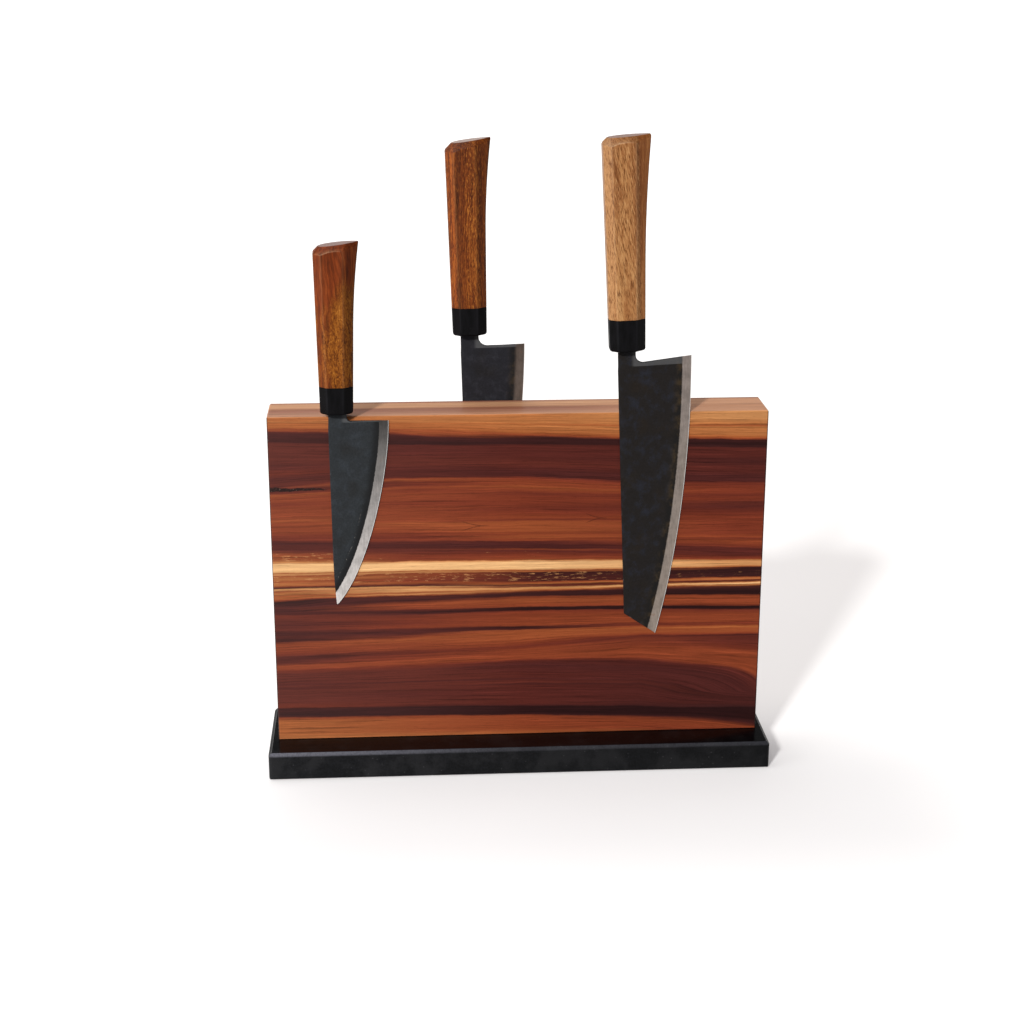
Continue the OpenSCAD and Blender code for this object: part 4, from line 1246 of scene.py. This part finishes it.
def floor():
    """A pale floor with a faint glow, less where the block shades it and more far behind."""
    m = Look("pale_floor")
    place = m.coords()
    soft = m.noise(place, 0.004, detail=2)
    pale = m.mix(soft, (0.44, 0.44, 0.44, 1), (0.47, 0.47, 0.47, 1))
    m.shade(base_color=pale, roughness=0.8, specular_ior_level=0.05)
    x, y, _ = m.split(place)
    shaded = m.mul(m.hump(y, -95, 30, 170), m.hump(x, 40, 190, 160))
    glow = m.mix(shaded, (0.84, 0.78, 0.76, 1), (0.46, 0.43, 0.44, 1))
    glow = m.mix(m.span(y, 500, 2500), glow, (1.4, 1.4, 1.4, 1))
    m.shade(emission_color=glow, emission_strength=0.56)
    corners = ((-1, -1), (1, -1), (1, 1), (-1, 1))
    mesh = bpy.data.meshes.new("floor_shape")
    mesh.from_pydata([(a * FLOOR_REACH, b * FLOOR_REACH, 0) for a, b in corners], [], [(0, 1, 2, 3)])
    mesh.materials.append(m.mat)
    made = bpy.data.objects.new("floor", mesh)
    bpy.context.scene.collection.objects.link(made)
    made.visible_diffuse = False


def lamp(name, kind, energy, aim, place=(0, 0, 0)):
    """Adds a light that shines along aim."""
    light = bpy.data.lights.new(name, kind)
    light.energy = energy
    made = bpy.data.objects.new(name, light)
    made.location = place
    made.rotation_mode = "QUATERNION"
    made.rotation_quaternion = aim.to_track_quat("-Z", "Y")
    bpy.context.scene.collection.objects.link(made)
    return light


def softbox(name, place, width, height, energy):
    """A rectangular soft light, aimed at the panel."""
    aim = Vector((0, 0, 0.15)) - Vector(place)
    box = lamp("softbox_" + name, "AREA", energy, aim, place)
    box.shape = "RECTANGLE"
    box.size, box.size_y = width, height


def room_node(tree, kind, numbers, links):
    """A node of the world, with numbers and links by the index of their input."""
    made = tree.nodes.new("ShaderNode" + kind)
    for index, number in numbers.items():
        made.inputs[index].default_value = number
    for index, source in links.items():
        tree.links.new(source, made.inputs[index])
    return made


def white_room():
    """A white world: dim overhead and below, bright from the horizon up to ROOM_BAND."""
    world = bpy.data.worlds.new("white_room")
    bpy.context.scene.world = world
    world.use_nodes = True
    tree = world.node_tree
    toward = room_node(tree, "TexCoord", {}, {}).outputs["Generated"]
    height = room_node(tree, "SeparateXYZ", {}, {0: toward}).outputs[2]
    fade = {1: ROOM_BAND[0], 2: ROOM_BAND[1], 3: 1.0, 4: ROOM_OVERHEAD}
    above = room_node(tree, "MapRange", fade, {0: height}).outputs[0]
    fade = {1: -0.02, 2: -0.01, 3: ROOM_BELOW, 4: 1.0}
    below = room_node(tree, "MapRange", fade, {0: height}).outputs[0]
    least = room_node(tree, "Math", {}, {0: above, 1: below})
    least.operation = "MINIMUM"
    sky = tree.nodes["Background"]
    sky.inputs[0].default_value = (1.0, 1.0, 1.0, 1.0)
    tree.links.new(least.outputs[0], sky.inputs[1])


def heading(turn, tilt):
    """The direction turned to the right of +Y and tilted down, both in degrees."""
    turn, tilt = math.radians(turn), math.radians(tilt)
    return Vector((math.sin(turn) * math.cos(tilt), math.cos(turn) * math.cos(tilt),
                   -math.sin(tilt)))


def lights():
    """A soft sun from the upper left of the camera, and softboxes above and to the left."""
    key = lamp("key", "SUN", KEY_POWER, heading(KEY_TURN, KEY_TILT))
    key.angle = math.radians(KEY_WIDTH)
    key.color = (1.0, 0.985, 0.965)
    softbox("above", (-0.4, 0.45, 1.7), 1.5, 1.2, 24)
    softbox("left", (-1.5, -0.62, 0.7), 1.1, 1.1, 15)
    bpy.context.scene.view_settings.view_transform = "Standard"
    bpy.context.scene.view_settings.look = "None"


def camera():
    """The camera, turned to the right, tilted down and slightly rolled."""
    ahead = heading(CAMERA_TURN, CAMERA_TILT)
    level = ahead.cross(Vector((0, 0, 1))).normalized()
    above = level.cross(ahead)
    roll = math.radians(CAMERA_ROLL)
    right = level * math.cos(roll) + above * math.sin(roll)
    up = above * math.cos(roll) - level * math.sin(roll)
    data = bpy.data.cameras.new("camera")
    data.lens, data.sensor_width = CAMERA_LENS, 36
    data.clip_end = 100
    made = bpy.data.objects.new("camera", data)
    bpy.context.scene.collection.objects.link(made)
    place = Matrix((right, up, -ahead)).transposed().to_4x4()
    place.translation = Vector(CAMERA_AT) * MM
    made.matrix_world = place
    bpy.context.scene.camera = made


def dress(node, look):
    """Gives a CAD node a procedural material."""
    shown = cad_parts[node]
    shown.data.materials.clear()
    shown.data.materials.append(look)


def dress_block():
    """The panel, the base and what holds them together."""
    dress("front_board", panel_wood("front_wood", 1.0, FRONT_Y, 0.0))
    dress("back_board", panel_wood("back_wood", -1.0, BACK_Y, 5.0))
    dress("granite_base", granite())
    dress("rubber_feet", rubber())
    steel = plain_metal("bolt_steel", (92, 92, 96), (168, 168, 172), 0.3)
    nickel = plain_metal("nickel", (150, 148, 142), (206, 204, 198), 0.2)
    keeper = plain_metal("keeper_steel", (84, 86, 90), (140, 142, 146), 0.42)
    dress("base_bolts", steel)
    dress("base_washers", steel)
    dress("threaded_inserts", plain_metal("brass", (150, 112, 50), (206, 168, 92), 0.32))
    for side in ("front", "back"):
        dress(side + "_magnets", nickel)
        dress(side + "_keepers", keeper)


def dress_grips():
    """The handles, the ferrules and the dowels inside them."""
    pale = beech()
    dress("board_pegs", pale)
    black = horn()
    grips = ((SMALL, russet_handle(), "russet_wood"), (MIDDLE, dark_handle(), "dark_wood"),
             (LARGE, tan_handle(), "tan_wood"))
    for knife, wood, slot in grips:
        dress(knife.name + "_dowel", pale)
        handle(knife, wood, slot)
        ferrule(knife, black)


def dress_blades():
    """The forged blades, each with its own scale, heel, tip and seam."""
    blade(SMALL, forged(
        SMALL, ((46, 49, 52), (53, 57, 62), (40, 40, 40)), tint(60, 58, 57, STEEL_GAIN),
        tint(200, 195, 192, STEEL_GAIN), seam_share=1.0, stain_share=0.0, soft=0.3))
    blade(MIDDLE, forged(
        MIDDLE, ((34, 34, 39), (46, 46, 52), (30, 28, 27)), tint(78, 68, 62, STEEL_GAIN),
        tint(150, 138, 130, 0.7), seam_share=0.4, stain_share=0.3, soft=1.8))
    blade(LARGE, forged(
        LARGE, ((31, 28, 27), (37, 38, 45), (36, 30, 24)), tint(126, 117, 112, STEEL_GAIN),
        tint(146, 134, 124, 0.66), seam_share=0.0, stain_share=0.5, soft=0.5))


camera()
floor()
white_room()
lights()
dress_block()
dress_grips()
dress_blades()
